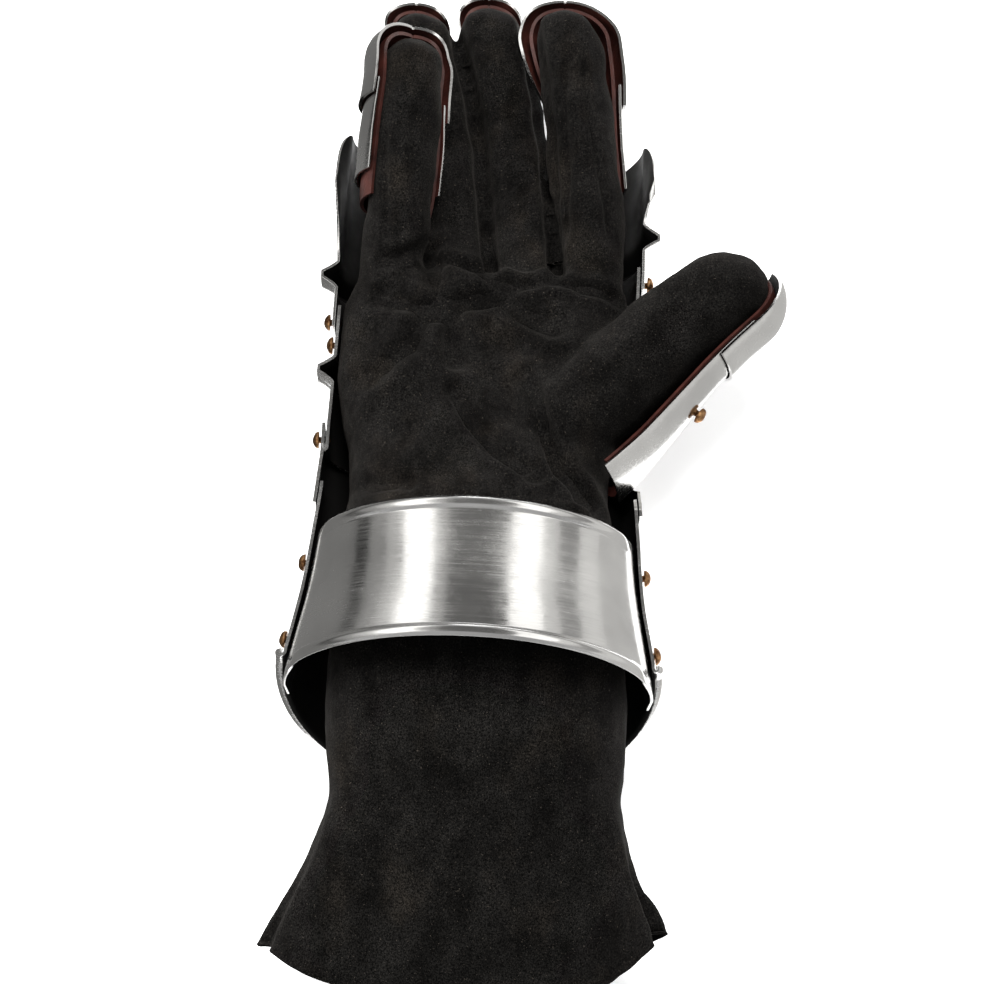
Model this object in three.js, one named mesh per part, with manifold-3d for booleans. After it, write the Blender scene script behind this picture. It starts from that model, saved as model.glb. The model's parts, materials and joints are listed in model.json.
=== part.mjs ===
// Armoured gauntlet for a right hand: a suede glove inside polished steel plates.
// Lengths are millimetres. The hand lies along +Y with its palm up and the thumb on +X.
// Y = 0 is the waist of the steel, Z = 0 the middle of the glove's thickness.
// The whole is then laid on its back, on the cuff's rim and the knuckle ridge.

import * as THREE from 'three';
import { mergeVertices } from 'three/addons/utils/BufferGeometryUtils.js';
import Module from 'manifold-3d';

// Materials' thicknesses and clearances
const steel = 1.2;
const leather = 1.5;
const suede = 2;
const gap = 0.3;
const softGap = 0.6;

// Suede glove. The fingers share its width: fingerPitch is the share from one to the next.
const halfGlove = 54.5;
const palmThick = 20;
const wristSeamY = 16;
const rootY = 110;
const armReach = 192;
const reach = 240;
const fingerPitch = 0.495;
const fingerGap = 0.89;
const stallRadius = fingerPitch * halfGlove / 2 - fingerGap;

// Steel shell: the sizes of its inside, clear of the glove at the side and back
const sideRoom = 0.101;
const backRoom = 8;
const halfHand = (1 + sideRoom) * halfGlove;
const backDepth = palmThick + backRoom;
const shellReach = 240;
const wallRise = 8;
const rimSideY = -52;
const rimDrop = 30;
const rollRadius = 1.8;
const cuffEndY = 20;
const wristLameLength = 34;
const handPlateLength = 72;
const knucklePlateLength = 49;
const lameOverlap = 9;
const lobeReach = 30;
const ridgeHeight = 6;
const ridgeFoot = 6;
const crestHalf = 1.5;
const ridgeSlant = 0.19;
const handRidgeY = 80;
const knuckleRidgeY = 122;
const flatBack = 25;

// Wrist band across the palm side
const bandTopY = -2;
const bandLength = 60;
const bandHigh = 49;
const bandTuck = 9;
const bandGap = 0.45;
const beadWide = 5.5;
const beadHigh = 2.2;

// Thumb
const thumbLength = 101;
const thumbRadius = 17;
const thumbTipRadius = 14.5;
const thumbRoot = { across: 0.66, y: 43, z: 3 };
const thumbTurn = THREE.MathUtils.degToRad(-46);
const thumbLift = THREE.MathUtils.degToRad(7);
const thumbStripStand = 8.5;

// Rivets
const rivetHead = 3.3;
const rivetDome = 2.4;
const rivetShank = 1.3;
const rivetTail = 2;
const rivetTailThick = 0.7;
const rivetPlace = 2.15;
const rivetInset = 0.25;
const thumbRivet = { share: 0.4, turn: 88 };

// Finish of each material
const steelLook = { color: 0xc9ccd0, roughness: 0.22, metalness: 1 };
const suedeLook = { color: 0x24211f, roughness: 0.95, metalness: 0 };
const leatherLook = { color: 0x4a1a16, roughness: 0.4, metalness: 0 };
const brassLook = { color: 0x9a6a3c, roughness: 0.35, metalness: 1 };

// Sections of the steel shell: shares of shellReach, halfHand and backDepth.
// flat is the share of flatBack that is level, edge how far the thumb side climbs.
const shellRows = [
  { at: -0.36, half: 1.23, deep: 1.8, flat: 0.3, edge: 1 },
  { at: -0.25, half: 1.19, deep: 1.68, flat: 0.3, edge: 1 },
  { at: -0.1, half: 1.085, deep: 1.42, flat: 0.4, edge: 1 },
  { at: 0.02, half: 1.035, deep: 1.26, flat: 0.5, edge: 1 },
  { at: 0.06, half: 1.02, deep: 1.18, flat: 0.65, edge: 1 },
  { at: 0.1, half: 1.01, deep: 1.12, flat: 0.8, edge: 0.55 },
  { at: 0.14, half: 1, deep: 1.08, flat: 0.95, edge: 0.36 },
  { at: 0.19, half: 1, deep: 1.04, flat: 1, edge: 0.25 },
  { at: 0.3, half: 0.99, deep: 1, flat: 1, edge: 0.2 },
  { at: 0.37, half: 0.985, deep: 0.99, flat: 1, edge: 0.3 },
  { at: 0.42, half: 0.985, deep: 0.98, flat: 1, edge: 0.8 },
  { at: 0.48, half: 0.985, deep: 0.96, flat: 1, edge: 1 },
  { at: 0.56, half: 0.98, deep: 0.94, flat: 1, edge: 1 },
  { at: 0.72, half: 0.965, deep: 0.9, flat: 1, edge: 1 },
];

// Sections of the glove's hand part, from the wrist seam to the finger roots:
// shares of its length, halfGlove and palmThick.
const palmRows = [
  { at: 0, half: 0.92, up: 1.65, down: 1.3 },
  { at: 0.18, half: 0.93, up: 1.38, down: 1.22 },
  { at: 0.4, half: 1.02, up: 1.15, down: 1.28 },
  { at: 0.62, half: 1.062, up: 1.02, down: 1.2 },
  { at: 0.82, half: 1.057, up: 0.88, down: 1.05 },
  { at: 1, half: 0.99, up: 0.82, down: 0.92 },
];

// Swellings and hollows of the palm: places and sizes as shares of halfGlove and
// of the hand part's length, heights as shares of palmThick.
const palmMounds = [
  { across: 0.5, along: 0.42, wide: 0.42, high: 0.22 },
  { across: -0.55, along: 0.38, wide: 0.4, high: 0.2 },
  { across: -0.1, along: 0.6, wide: 0.34, high: -0.16 },
  { across: 0.1, along: 0.93, wide: 0.3, high: 0.1 },
];

// Sections of the glove's arm part, from the wrist seam to the hem: shares of
// armReach, halfGlove and palmThick. side and sink move the centre.
const armRows = [
  { at: 0, half: 0.92, up: 1.65, down: 1.3, side: 0, sink: 0 },
  { at: 0.09, half: 0.95, up: 1.95, down: 1.5, side: 0.01, sink: 0 },
  { at: 0.22, half: 0.99, up: 2.02, down: 1.7, side: 0.03, sink: 0 },
  { at: 0.4, half: 1.04, up: 1.86, down: 1.75, side: 0.06, sink: 0.05 },
  { at: 0.54, half: 1.02, up: 1.6, down: 1.6, side: 0.08, sink: 0.2 },
  { at: 0.62, half: 1, up: 1.5, down: 1.5, side: 0.09, sink: 0.35 },
  { at: 0.74, half: 1.13, up: 1.28, down: 1.3, side: 0.08, sink: 0.62 },
  { at: 0.87, half: 1.27, up: 1.05, down: 1.1, side: 0.06, sink: 0.92 },
  { at: 1, half: 1.42, up: 0.85, down: 0.9, side: 0.05, sink: 1.2 },
];

// Folds of the arm part: the turn round the section where each lies, its width in
// turns, its depth as a share of palmThick, and the share of the length it starts at.
const armFolds = [
  { turn: 0.03, wide: 0.035, deep: 0.35, start: 0.6 },
  { turn: 0.2, wide: 0.05, deep: 0.14, start: 0.45 },
  { turn: 0.33, wide: 0.05, deep: 0.16, start: 0.5 },
  { turn: 0.47, wide: 0.04, deep: 0.2, start: 0.55 },
];
const hemRound = 0.16;

// Fingers: x and z as shares of halfGlove at the root, middle and tip, the tip's
// distance as a share of reach, the stall's size at its root and tip as shares of
// stallRadius. The plates' edges are in degrees from the finger's back, on the left
// and right, along the finger and at its tip, and flare widens them sideways.
const fingers = [
  {
    name: 'little', root: -1.5 * fingerPitch, mid: -0.66, tip: -0.66, midRise: 0.44, tipRise: 0.55,
    length: 0.868, size: 1, tipSize: 1.07,
    left: 94, right: 55, tipLeft: 94, tipRight: 70, flare: 0.28, tipFlare: 0.1,
  },
  {
    name: 'ring', root: -0.5 * fingerPitch, mid: -0.365, tip: -0.68, midRise: -0.13, tipRise: -0.088,
    length: 1.008, size: 0.95, tipSize: 1.06,
    left: 50, right: 38, tipLeft: 55, tipRight: 40, flare: 0.02, tipFlare: 0.04,
  },
  {
    name: 'middle', root: 0.5 * fingerPitch, mid: 0.1, tip: -0.13, midRise: -0.13, tipRise: -0.106,
    length: 1.028, size: 0.95, tipSize: 1.06,
    left: 38, right: 44, tipLeft: 42, tipRight: 44, flare: 0.02, tipFlare: 0.04,
  },
  {
    name: 'index', root: 1.5 * fingerPitch, mid: 0.625, tip: 0.45, midRise: 0.15, tipRise: 0.26,
    length: 0.975, size: 1, tipSize: 1.04,
    left: 34, right: 92, tipLeft: 74, tipRight: 92, flare: 0.08, tipFlare: 0.22,
  },
];

// Two steel plates ride on each finger's leather strip: shares of its length.
const fingerPlates = [
  { name: 'plate', from: 0.36, to: 0.72, layer: 0 },
  { name: 'tip_plate', from: 0.64, to: 1, layer: 1 },
];
const stripFrom = 0.28;
const troughSteps = 7;

// Creases along the palm side of each finger: turn, width in turns, depth as a share.
const fingerCreases = [
  { turn: 0.17, wide: 0.05, deep: 0.13 },
  { turn: 0.33, wide: 0.05, deep: 0.13 },
];

const wasm = await Module();
wasm.setup();

// A cubic curve through the rows of a table, for one column
function column(rows, key, at) {
  const last = rows.length - 1;
  let i = 0;
  while (i < last - 1 && at > rows[i + 1].at) {
    i += 1;
  }
  const span = rows[i + 1].at - rows[i].at;
  const share = THREE.MathUtils.clamp((at - rows[i].at) / span, 0, 1);
  const before = rows[Math.max(i - 1, 0)];
  const after = rows[Math.min(i + 2, last)];
  const slopeIn = (rows[i + 1][key] - before[key]) / (rows[i + 1].at - before.at) * span;
  const slopeOut = (after[key] - rows[i][key]) / (after.at - rows[i].at) * span;
  const s2 = share * share;
  const s3 = s2 * share;
  return rows[i][key] * (2 * s3 - 3 * s2 + 1) + slopeIn * (s3 - 2 * s2 + share)
    + rows[i + 1][key] * (3 * s2 - 2 * s3) + slopeOut * (s3 - s2);
}

function quad(faces, a, b, c, d) {
  faces.push(a, b, c, a, c, d);
}

// An indexed geometry with its faces turned outwards
function closedSolid(points, faces) {
  let volume = 0;
  for (let f = 0; f < faces.length; f += 3) {
    const cross = points[faces[f + 1]].clone().cross(points[faces[f + 2]]);
    volume += points[faces[f]].dot(cross);
  }
  if (volume < 0) {
    faces.reverse();
  }
  const geometry = new THREE.BufferGeometry();
  geometry.setFromPoints(points);
  geometry.setIndex(faces);
  return geometry;
}

// A hollow wall between two stacks of rings, open at the first ring and either open
// or closed by a point at the last one
function hollowWall(outer, inner, closedEnd) {
  const count = outer[0].length;
  const last = outer.length - 1;
  const points = [...outer.flat(), ...inner.flat()];
  const faces = [];
  const out = (i, k) => i * count + k % count;
  const into = (i, k) => outer.length * count + i * count + k % count;
  for (let k = 0; k < count; k += 1) {
    for (let i = 0; i < last; i += 1) {
      quad(faces, out(i, k), out(i, k + 1), out(i + 1, k + 1), out(i + 1, k));
      quad(faces, into(i, k + 1), into(i, k), into(i + 1, k), into(i + 1, k + 1));
    }
    quad(faces, out(0, k + 1), out(0, k), into(0, k), into(0, k + 1));
    if (!closedEnd) {
      quad(faces, out(last, k), out(last, k + 1), into(last, k + 1), into(last, k));
    }
  }
  if (closedEnd) {
    for (const [ring, corner, turned] of [[outer, out, false], [inner, into, true]]) {
      const pole = points.length;
      const middle = new THREE.Vector3();
      ring[last].forEach((point) => middle.addScaledVector(point, 1 / count));
      points.push(middle);
      for (let k = 0; k < count; k += 1) {
        const pair = [corner(last, k), corner(last, k + 1)];
        faces.push(...(turned ? [pair[1], pair[0], pole] : [pair[0], pair[1], pole]));
      }
    }
  }
  return closedSolid(points, faces);
}

// A sheet of even thickness: the grid is its inner face, side says which way is out
function sheet(grid, thickness, side) {
  const rows = grid.length;
  const cols = grid[0].length;
  const outer = grid.map((line, i) => line.map((point, j) => {
    const along = grid[Math.min(i + 1, rows - 1)][j].clone();
    along.sub(grid[Math.max(i - 1, 0)][j]);
    const across = line[Math.min(j + 1, cols - 1)].clone();
    across.sub(line[Math.max(j - 1, 0)]);
    const normal = along.cross(across).normalize();
    return point.clone().addScaledVector(normal, side * thickness);
  }));
  const points = [...grid.flat(), ...outer.flat()];
  const faces = [];
  const inside = (i, j) => i * cols + j;
  const outside = (i, j) => rows * cols + i * cols + j;
  for (let i = 0; i < rows - 1; i += 1) {
    for (let j = 0; j < cols - 1; j += 1) {
      quad(faces, inside(i, j), inside(i, j + 1), inside(i + 1, j + 1), inside(i + 1, j));
      quad(faces, outside(i, j + 1), outside(i, j), outside(i + 1, j), outside(i + 1, j + 1));
    }
    quad(faces, inside(i + 1, 0), outside(i + 1, 0), outside(i, 0), inside(i, 0));
    const e = cols - 1;
    quad(faces, inside(i, e), outside(i, e), outside(i + 1, e), inside(i + 1, e));
  }
  for (let j = 0; j < cols - 1; j += 1) {
    quad(faces, inside(0, j), outside(0, j), outside(0, j + 1), inside(0, j + 1));
    const e = rows - 1;
    quad(faces, inside(e, j + 1), outside(e, j + 1), outside(e, j), inside(e, j));
  }
  return closedSolid(points, faces);
}

function toManifold(geometry) {
  const bare = geometry.clone();
  bare.deleteAttribute('normal');
  bare.deleteAttribute('uv');
  const merged = mergeVertices(bare, 1e-4);
  return new wasm.Manifold(new wasm.Mesh({
    numProp: 3,
    vertProperties: new Float32Array(merged.attributes.position.array),
    triVerts: new Uint32Array(merged.index.array),
  }));
}

function fromManifold(solid) {
  const mesh = solid.getMesh();
  const geometry = new THREE.BufferGeometry();
  geometry.setAttribute('position', new THREE.BufferAttribute(mesh.vertProperties, 3));
  geometry.setIndex(new THREE.BufferAttribute(mesh.triVerts, 1));
  return geometry;
}

function cutAway(geometry, tools) {
  let solid = toManifold(geometry);
  for (const tool of tools) {
    solid = solid.subtract(toManifold(tool));
  }
  return fromManifold(solid);
}

// The steel shell

const shell = (y, key) => column(shellRows, key, y / shellReach);

// One point of the shell's section. place runs from -3 to 3: up to 1 it is the level
// back, up to 2 the quarter arc, up to 3 the wall beside the hand. lift is the
// distance outwards from the shell's inner face.
function shellPoint(y, place, lift) {
  const half = shell(y, 'half') * halfHand + lift;
  const deep = shell(y, 'deep') * backDepth + lift;
  const level = shell(y, 'flat') * flatBack;
  const sign = Math.sign(place);
  const far = Math.abs(place);
  if (far <= 1) {
    return new THREE.Vector3(place * level, y, -deep);
  }
  if (far <= 2) {
    const turn = (far - 1) * Math.PI / 2;
    const x = sign * (level + (half - level) * Math.sin(turn));
    return new THREE.Vector3(x, y, -deep * Math.cos(turn));
  }
  return new THREE.Vector3(sign * half, y, (far - 2) * wallRise);
}

// Places across the shell, with the thumb side stopped short where the thumb leaves
function placesAcross(arcSteps) {
  const places = [0, 1];
  for (let k = 1; k <= arcSteps; k += 1) {
    places.push(1 + k / arcSteps);
  }
  places.push(3);
  const left = places.slice(1).reverse().map((place) => -place);
  return [...left, ...places];
}

function thumbSide(place, y) {
  if (place <= 1) {
    return place;
  }
  return 1 + (place - 1) * shell(y, 'edge');
}

// How far round towards the back a place lies: 1 on the level back, 0 on the walls
function backShare(place) {
  const far = Math.abs(place);
  return far <= 1 ? 1 : Math.max(Math.cos((far - 1) * Math.PI / 2), 0);
}

// A lame across the shell. Each row has its distance along and its lift, and shape
// gives the distance added at a place, so that edges can be curved.
function shellPlate(rows, places, shape) {
  return rows.map((row) => places.map((place) => {
    const y = row.y + shape(place, row);
    return shellPoint(y, thumbSide(place, y), row.lift);
  }));
}

function cuffGrid() {
  const places = placesAcross(6);
  const rows = [];
  for (const turn of [150, 90, 30]) {
    const angle = THREE.MathUtils.degToRad(turn);
    rows.push({
      share: 0,
      along: rollRadius - rollRadius * Math.sin(angle),
      lift: rollRadius - rollRadius * Math.cos(angle),
    });
  }
  for (const share of [0.06, 0.3, 0.6, 1]) {
    rows.push({ share, along: 0, lift: 0 });
  }
  return rows.map((row) => places.map((place) => {
    const rimY = rimSideY - rimDrop * backShare(place);
    const y = THREE.MathUtils.lerp(rimY, cuffEndY, row.share) + row.along;
    return shellPoint(y, thumbSide(place, y), row.lift);
  }));
}

const overLayer = steel + 2 * gap;

function ridgeRows(y, lift) {
  return [
    { y: y - ridgeFoot, lift },
    { y: y - crestHalf, lift: lift + ridgeHeight },
    { y: y + crestHalf, lift: lift + ridgeHeight },
    { y: y + ridgeFoot, lift },
  ];
}

const slanted = (place) => ridgeSlant * halfHand * THREE.MathUtils.clamp(place / 2, -1, 1);

const wristStart = cuffEndY - lameOverlap;
const wristEnd = wristStart + wristLameLength;
const handStart = wristEnd - lameOverlap;
const handEnd = handStart + handPlateLength;
const knuckleStart = handEnd - lameOverlap;
const knuckleEnd = knuckleStart + knucklePlateLength;

function wristLameGrid() {
  const rows = [];
  const steps = 4;
  for (let k = 0; k <= steps; k += 1) {
    rows.push({ y: wristStart + k / steps * wristLameLength, lift: overLayer });
  }
  return shellPlate(rows, placesAcross(6), () => 0);
}

function handPlateGrid() {
  const rows = [
    { y: handStart, lift: 0 },
    { y: (handStart + handRidgeY) / 2, lift: 0 },
    ...ridgeRows(handRidgeY, 0),
    { y: handEnd - lameOverlap, lift: 0 },
    { y: handEnd, lift: 0 },
  ];
  const firstY = handStart;
  return shellPlate(rows, placesAcross(6), (place, row) => (
    slanted(place) * THREE.MathUtils.clamp((row.y - firstY) / lameOverlap, 0, 1)
  ));
}

// The rows of the knuckle plate's grid that its ridge's crest lies between
const crestRows = [2, 3];

// The knuckle plate ends in a rounded lobe beside the little and the index finger
function knucklePlateGrid(levelSlope) {
  const top = shell(knuckleRidgeY, 'deep') * backDepth + overLayer + ridgeHeight;
  const rows = [
    { y: knuckleStart, lift: overLayer },
    ...ridgeRows(knuckleRidgeY, overLayer),
    { y: knuckleEnd - lameOverlap, lift: overLayer, lobe: 0.4 },
    { y: knuckleEnd, lift: overLayer, lobe: 1 },
  ];
  const places = placesAcross(6);
  return shellPlate(rows, places, (place, row) => {
    const outward = THREE.MathUtils.smoothstep(Math.abs(place), 1.6, 2.2);
    const corner = Math.abs(place) > 2.5 ? 0.6 : 1;
    const lobe = row.lobe || 0;
    return slanted(place) * (1 - lobe * outward) + lobe * lobeReach * outward * corner;
  }).map((line, i) => line.map((point, j) => {
    if (crestRows.includes(i) && Math.abs(places[j]) <= 1) {
      point.z = (point.y - knuckleRidgeY) * levelSlope - top;
    }
    return point;
  }));
}

// The wrist band crosses the palm side, and its ends go down inside the cuff's walls
function wristBandGrid() {
  const bead = [
    { along: 0, high: 0 },
    { along: 0.2, high: 0.75 },
    { along: 0.5, high: 1 },
    { along: 0.8, high: 0.75 },
    { along: 1, high: 0 },
  ];
  const rows = [];
  for (const step of bead) {
    rows.push({ y: bandTopY - bandLength + step.along * beadWide, high: step.high });
  }
  rows.push({ y: bandTopY - bandLength / 2, high: 0 });
  for (const step of bead) {
    rows.push({ y: bandTopY - beadWide + step.along * beadWide, high: step.high });
  }
  const steps = 8;
  return rows.map((row) => {
    const half = shell(row.y, 'half') * halfHand - bandGap - steel;
    const high = bandHigh * half / halfHand - steel;
    const line = [];
    for (let k = -steps; k <= steps; k += 1) {
      const turn = k / steps * Math.PI / 2;
      const free = THREE.MathUtils.smoothstep(Math.cos(turn), 0.25, 0.5);
      const bump = row.high * beadHigh * free;
      const x = (half + bump) * Math.sin(turn);
      line.push(new THREE.Vector3(x, row.y, (high + bump) * Math.cos(turn)));
    }
    const deep = shell(row.y, 'deep') * backDepth - bandGap - steel;
    const place = 1 + Math.acos(bandTuck / deep) / (Math.PI / 2);
    const tuck = (side) => shellPoint(row.y, side * place, -bandGap - steel);
    return [tuck(-1), ...line, tuck(1)];
  });
}

// The suede glove

// A point of a squared oval section, with its own height above and below
function ovalPoint(section, turn, shrink) {
  const angle = turn * 2 * Math.PI;
  const c = Math.cos(angle);
  const s = Math.sin(angle);
  const half = section.half - shrink;
  const tall = (s > 0 ? section.up : section.down) - shrink;
  const x = section.x + half * Math.sign(c) * Math.abs(c) ** section.square;
  const z = section.z + tall * Math.sign(s) * Math.abs(s) ** section.square;
  return new THREE.Vector3(x, section.y, z);
}

function dent(turn, fold) {
  const away = Math.abs(turn - fold.turn) / fold.wide;
  return away < 1 ? fold.deep * (1 + Math.cos(away * Math.PI)) / 2 : 0;
}

function palmRing(share, shrink, sides) {
  const length = rootY - wristSeamY;
  const section = {
    x: 0,
    y: wristSeamY + share * length,
    z: 0,
    half: column(palmRows, 'half', share) * halfGlove,
    up: column(palmRows, 'up', share) * palmThick,
    down: column(palmRows, 'down', share) * palmThick,
    square: 0.82,
  };
  const ring = [];
  for (let k = 0; k < sides; k += 1) {
    const point = ovalPoint(section, k / sides, shrink);
    if (point.z > 0) {
      for (const mound of palmMounds) {
        const across = (point.x / halfGlove - mound.across) / mound.wide;
        const along = (share - mound.along) / mound.wide;
        const swell = Math.exp(-across * across - along * along);
        point.z += swell * mound.high * palmThick * point.z / section.up;
      }
    }
    ring.push(point);
  }
  return ring;
}

function handPart() {
  const sides = 28;
  const shares = [0, 0.2, 0.4, 0.6, 0.8, 1];
  const outer = shares.map((share) => palmRing(share, 0, sides));
  const inner = shares.map((share) => palmRing(share, suede, sides));
  return hollowWall(outer, inner, false);
}

function armRing(share, shrink, sides) {
  const section = {
    x: column(armRows, 'side', share) * halfGlove,
    y: wristSeamY - gap - share * armReach,
    z: -column(armRows, 'sink', share) * palmThick,
    half: column(armRows, 'half', share) * halfGlove,
    up: column(armRows, 'up', share) * palmThick,
    down: column(armRows, 'down', share) * palmThick,
    square: 0.9,
  };
  const ring = [];
  for (let k = 0; k < sides; k += 1) {
    const turn = k / sides;
    let sunk = shrink;
    for (const fold of armFolds) {
      const started = THREE.MathUtils.smoothstep(share, fold.start, 1);
      sunk += dent(turn, fold) * palmThick * started;
    }
    const point = ovalPoint(section, turn, sunk);
    const side = Math.abs(Math.cos(turn * 2 * Math.PI)) ** 3;
    point.y += side * hemRound * armReach * THREE.MathUtils.smoothstep(share, 0.7, 1);
    ring.push(point);
  }
  return ring;
}

function armPart() {
  const sides = 32;
  const shares = [0, 0.1, 0.25, 0.4, 0.52, 0.62, 0.72, 0.85, 1];
  const outer = shares.map((share) => armRing(share, 0, sides));
  const inner = shares.map((share) => armRing(share, suede, sides));
  return hollowWall(outer, inner, false);
}

// A finger, or the thumb in its own frame: centre line, size and rounded end.
// off is the distance outwards from the stall's face.
function fingerSection(finger, share, off) {
  const length = finger.tipY - finger.rootY + off;
  const y = finger.rootY + share * length;
  const t = THREE.MathUtils.clamp((y - finger.rootY) / (finger.tipY - finger.rootY), 0, 1);
  const curve = (a, b, c) => a * (1 - t) * (1 - 2 * t) + b * 4 * t * (1 - t)
    + c * t * (2 * t - 1);
  const radius = THREE.MathUtils.lerp(finger.radius, finger.tipRadius, t) + off;
  const roundFrom = y - (finger.rootY + length - radius);
  const round = roundFrom > 0 ? Math.sqrt(Math.max(1 - (roundFrom / radius) ** 2, 0)) : 1;
  const rootShare = Math.max(1 - 5 * t, 0);
  return {
    x: curve(finger.x[0], finger.x[1], finger.x[2]),
    y,
    z: curve(finger.z[0], finger.z[1], finger.z[2]),
    half: radius * round,
    up: radius * round * (1 + 0.2 * rootShare),
    down: radius * round * (1 + 0.15 * rootShare),
    square: 1 - 0.15 * rootShare,
  };
}

// Shares along a finger that crowd towards its rounded end
function roundedShares(finger, from, to, off, straightSteps) {
  const length = finger.tipY - finger.rootY + off;
  const domeFrom = 1 - (finger.tipRadius + off) / length;
  const shares = [];
  for (let k = 0; k <= straightSteps; k += 1) {
    shares.push(THREE.MathUtils.lerp(from, Math.min(domeFrom, to), k / straightSteps));
  }
  if (to > domeFrom) {
    for (const turn of [38, 68]) {
      const share = domeFrom + (1 - domeFrom) * Math.sin(THREE.MathUtils.degToRad(turn));
      shares.push(share);
    }
  }
  return shares;
}

function stall(finger, sides, steps) {
  const ringAt = (share, shrink) => {
    const section = fingerSection(finger, share, -shrink);
    const ring = [];
    for (let k = 0; k < sides; k += 1) {
      const turn = k / sides;
      const t = THREE.MathUtils.smoothstep(share, 0.15, 0.4)
        * (1 - THREE.MathUtils.smoothstep(share, 0.75, 0.95));
      const crease = fingerCreases.reduce((sum, fold) => sum + dent(turn, fold), 0);
      ring.push(ovalPoint(section, turn, crease * t * finger.radius));
    }
    return ring;
  };
  const outer = roundedShares(finger, 0, 1, 0, steps).map((share) => ringAt(share, 0));
  const inner = roundedShares(finger, 0, 1, -suede, steps)
    .map((share) => ringAt(share, suede));
  return hollowWall(outer, inner, true);
}

// A trough round the back of a finger. off gives its distance from the stall and wrap
// its two edges at a share of the length, in degrees from straight down.
function troughGrid(finger, shares, off, wrap) {
  return shares.map((share) => {
    const section = fingerSection(finger, share, off(share));
    const open = THREE.MathUtils.smoothstep(share, 0.1, 0.35);
    const late = THREE.MathUtils.smoothstep(share, 0.5, 0.8);
    const flare = 1 + open * THREE.MathUtils.lerp(finger.flare, finger.tipFlare, late);
    const [from, to] = wrap(share);
    const line = [];
    for (let k = 0; k <= troughSteps; k += 1) {
      const turn = THREE.MathUtils.degToRad(THREE.MathUtils.lerp(from, to, k / troughSteps));
      const s = Math.sin(turn);
      const c = Math.cos(turn);
      const tall = c > 0 ? section.down : section.up;
      const x = section.x + section.half * flare * Math.sign(s) * Math.abs(s) ** section.square;
      const z = section.z - tall * Math.sign(c) * Math.abs(c) ** section.square;
      line.push(new THREE.Vector3(x, section.y, z));
    }
    return line;
  });
}

// Rivets: a domed head, a shank through the plates and a small tail inside

function rivetGeometry(thick) {
  const under = -thick - 2 * gap;
  const profile = [
    [0, gap + rivetDome],
    [0.7 * rivetHead, gap + 0.7 * rivetDome],
    [rivetHead, gap],
    [rivetShank, gap],
    [rivetShank, under],
    [rivetTail, under],
    [0, under - rivetTailThick],
  ];
  const points = profile.map(([radius, height]) => new THREE.Vector2(radius, height));
  return new THREE.LatheGeometry(points.reverse(), 7);
}

function rivetHole(thick) {
  return new THREE.CylinderGeometry(rivetShank + gap, rivetShank + gap, 3 * thick, 6);
}

// A frame on a surface whose own +Y points straight out. spot gives the surface's
// points from two values that grow towards the fingers and towards the thumb side.
function facing(spot, first, second) {
  const step = 0.01;
  const along = spot(first + step, second).sub(spot(first - step, second));
  const across = spot(first, second + step).sub(spot(first, second - step));
  const normal = along.cross(across).normalize();
  const turn = new THREE.Quaternion().setFromUnitVectors(new THREE.Vector3(0, 1, 0), normal);
  return new THREE.Matrix4().compose(spot(first, second), turn, new THREE.Vector3(1, 1, 1));
}

function rivetFrame(row, side) {
  const limit = Math.abs(thumbSide(3, row.y)) - rivetInset;
  const place = side < 0 ? -rivetPlace : Math.min(rivetPlace, limit);
  const y = row.y > handStart + lameOverlap ? row.y + slanted(place) : row.y;
  return facing((a, b) => shellPoint(a, b, row.outer), y, place);
}

// The gauntlet is put together

const gauntlet = new THREE.Group();
const materials = {
  steel: new THREE.MeshStandardMaterial(steelLook),
  suede: new THREE.MeshStandardMaterial(suedeLook),
  leather: new THREE.MeshStandardMaterial(leatherLook),
  brass: new THREE.MeshStandardMaterial(brassLook),
};

function add(group, name, geometry, look) {
  const mesh = new THREE.Mesh(geometry, materials[look].clone());
  mesh.name = name;
  group.add(mesh);
  return mesh;
}

const thumb = {
  name: 'thumb',
  x: [0, 0, 0],
  z: [0, 0, 0],
  rootY: 0,
  tipY: thumbLength,
  radius: thumbRadius,
  tipRadius: thumbTipRadius,
  flare: 0,
  tipFlare: 0,
};
const thumbGroup = new THREE.Group();
thumbGroup.position.set(thumbRoot.across * halfGlove, thumbRoot.y, thumbRoot.z);
thumbGroup.rotation.set(thumbLift, 0, thumbTurn, 'ZXY');
thumbGroup.updateMatrix();
gauntlet.add(thumbGroup);

// Each stall starts just past the hand part's end
for (const row of fingers) {
  const finger = {
    name: row.name,
    x: [row.root, row.mid, row.tip].map((share) => share * halfGlove),
    z: [0, row.midRise, row.tipRise].map((share) => share * halfGlove),
    rootY: rootY + gap,
    tipY: row.length * reach,
    radius: stallRadius * row.size,
    tipRadius: stallRadius * row.tipSize,
    flare: row.flare,
    tipFlare: row.tipFlare,
  };
  add(gauntlet, `${row.name}_stall`, stall(finger, 14, 5), 'suede');
  const wrap = (share) => {
    const late = THREE.MathUtils.smoothstep(share, 0.62, 0.9);
    const left = THREE.MathUtils.lerp(row.left, row.tipLeft, late);
    return [-left, THREE.MathUtils.lerp(row.right, row.tipRight, late)];
  };
  const stripShares = roundedShares(finger, stripFrom, 1, softGap, 5);
  const stripGrid = troughGrid(finger, stripShares, () => softGap, wrap);
  add(gauntlet, `${row.name}_strip`, sheet(stripGrid, leather, 1), 'leather');
  for (const plate of fingerPlates) {
    const off = softGap + leather + 2 * gap + plate.layer * (steel + 2 * gap);
    const shares = roundedShares(finger, plate.from, plate.to, off, 3);
    const grid = troughGrid(finger, shares, () => off, wrap);
    add(gauntlet, `${row.name}_${plate.name}`, sheet(grid, steel, 1), 'steel');
  }
}

add(gauntlet, 'glove_arm', armPart(), 'suede');

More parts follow.
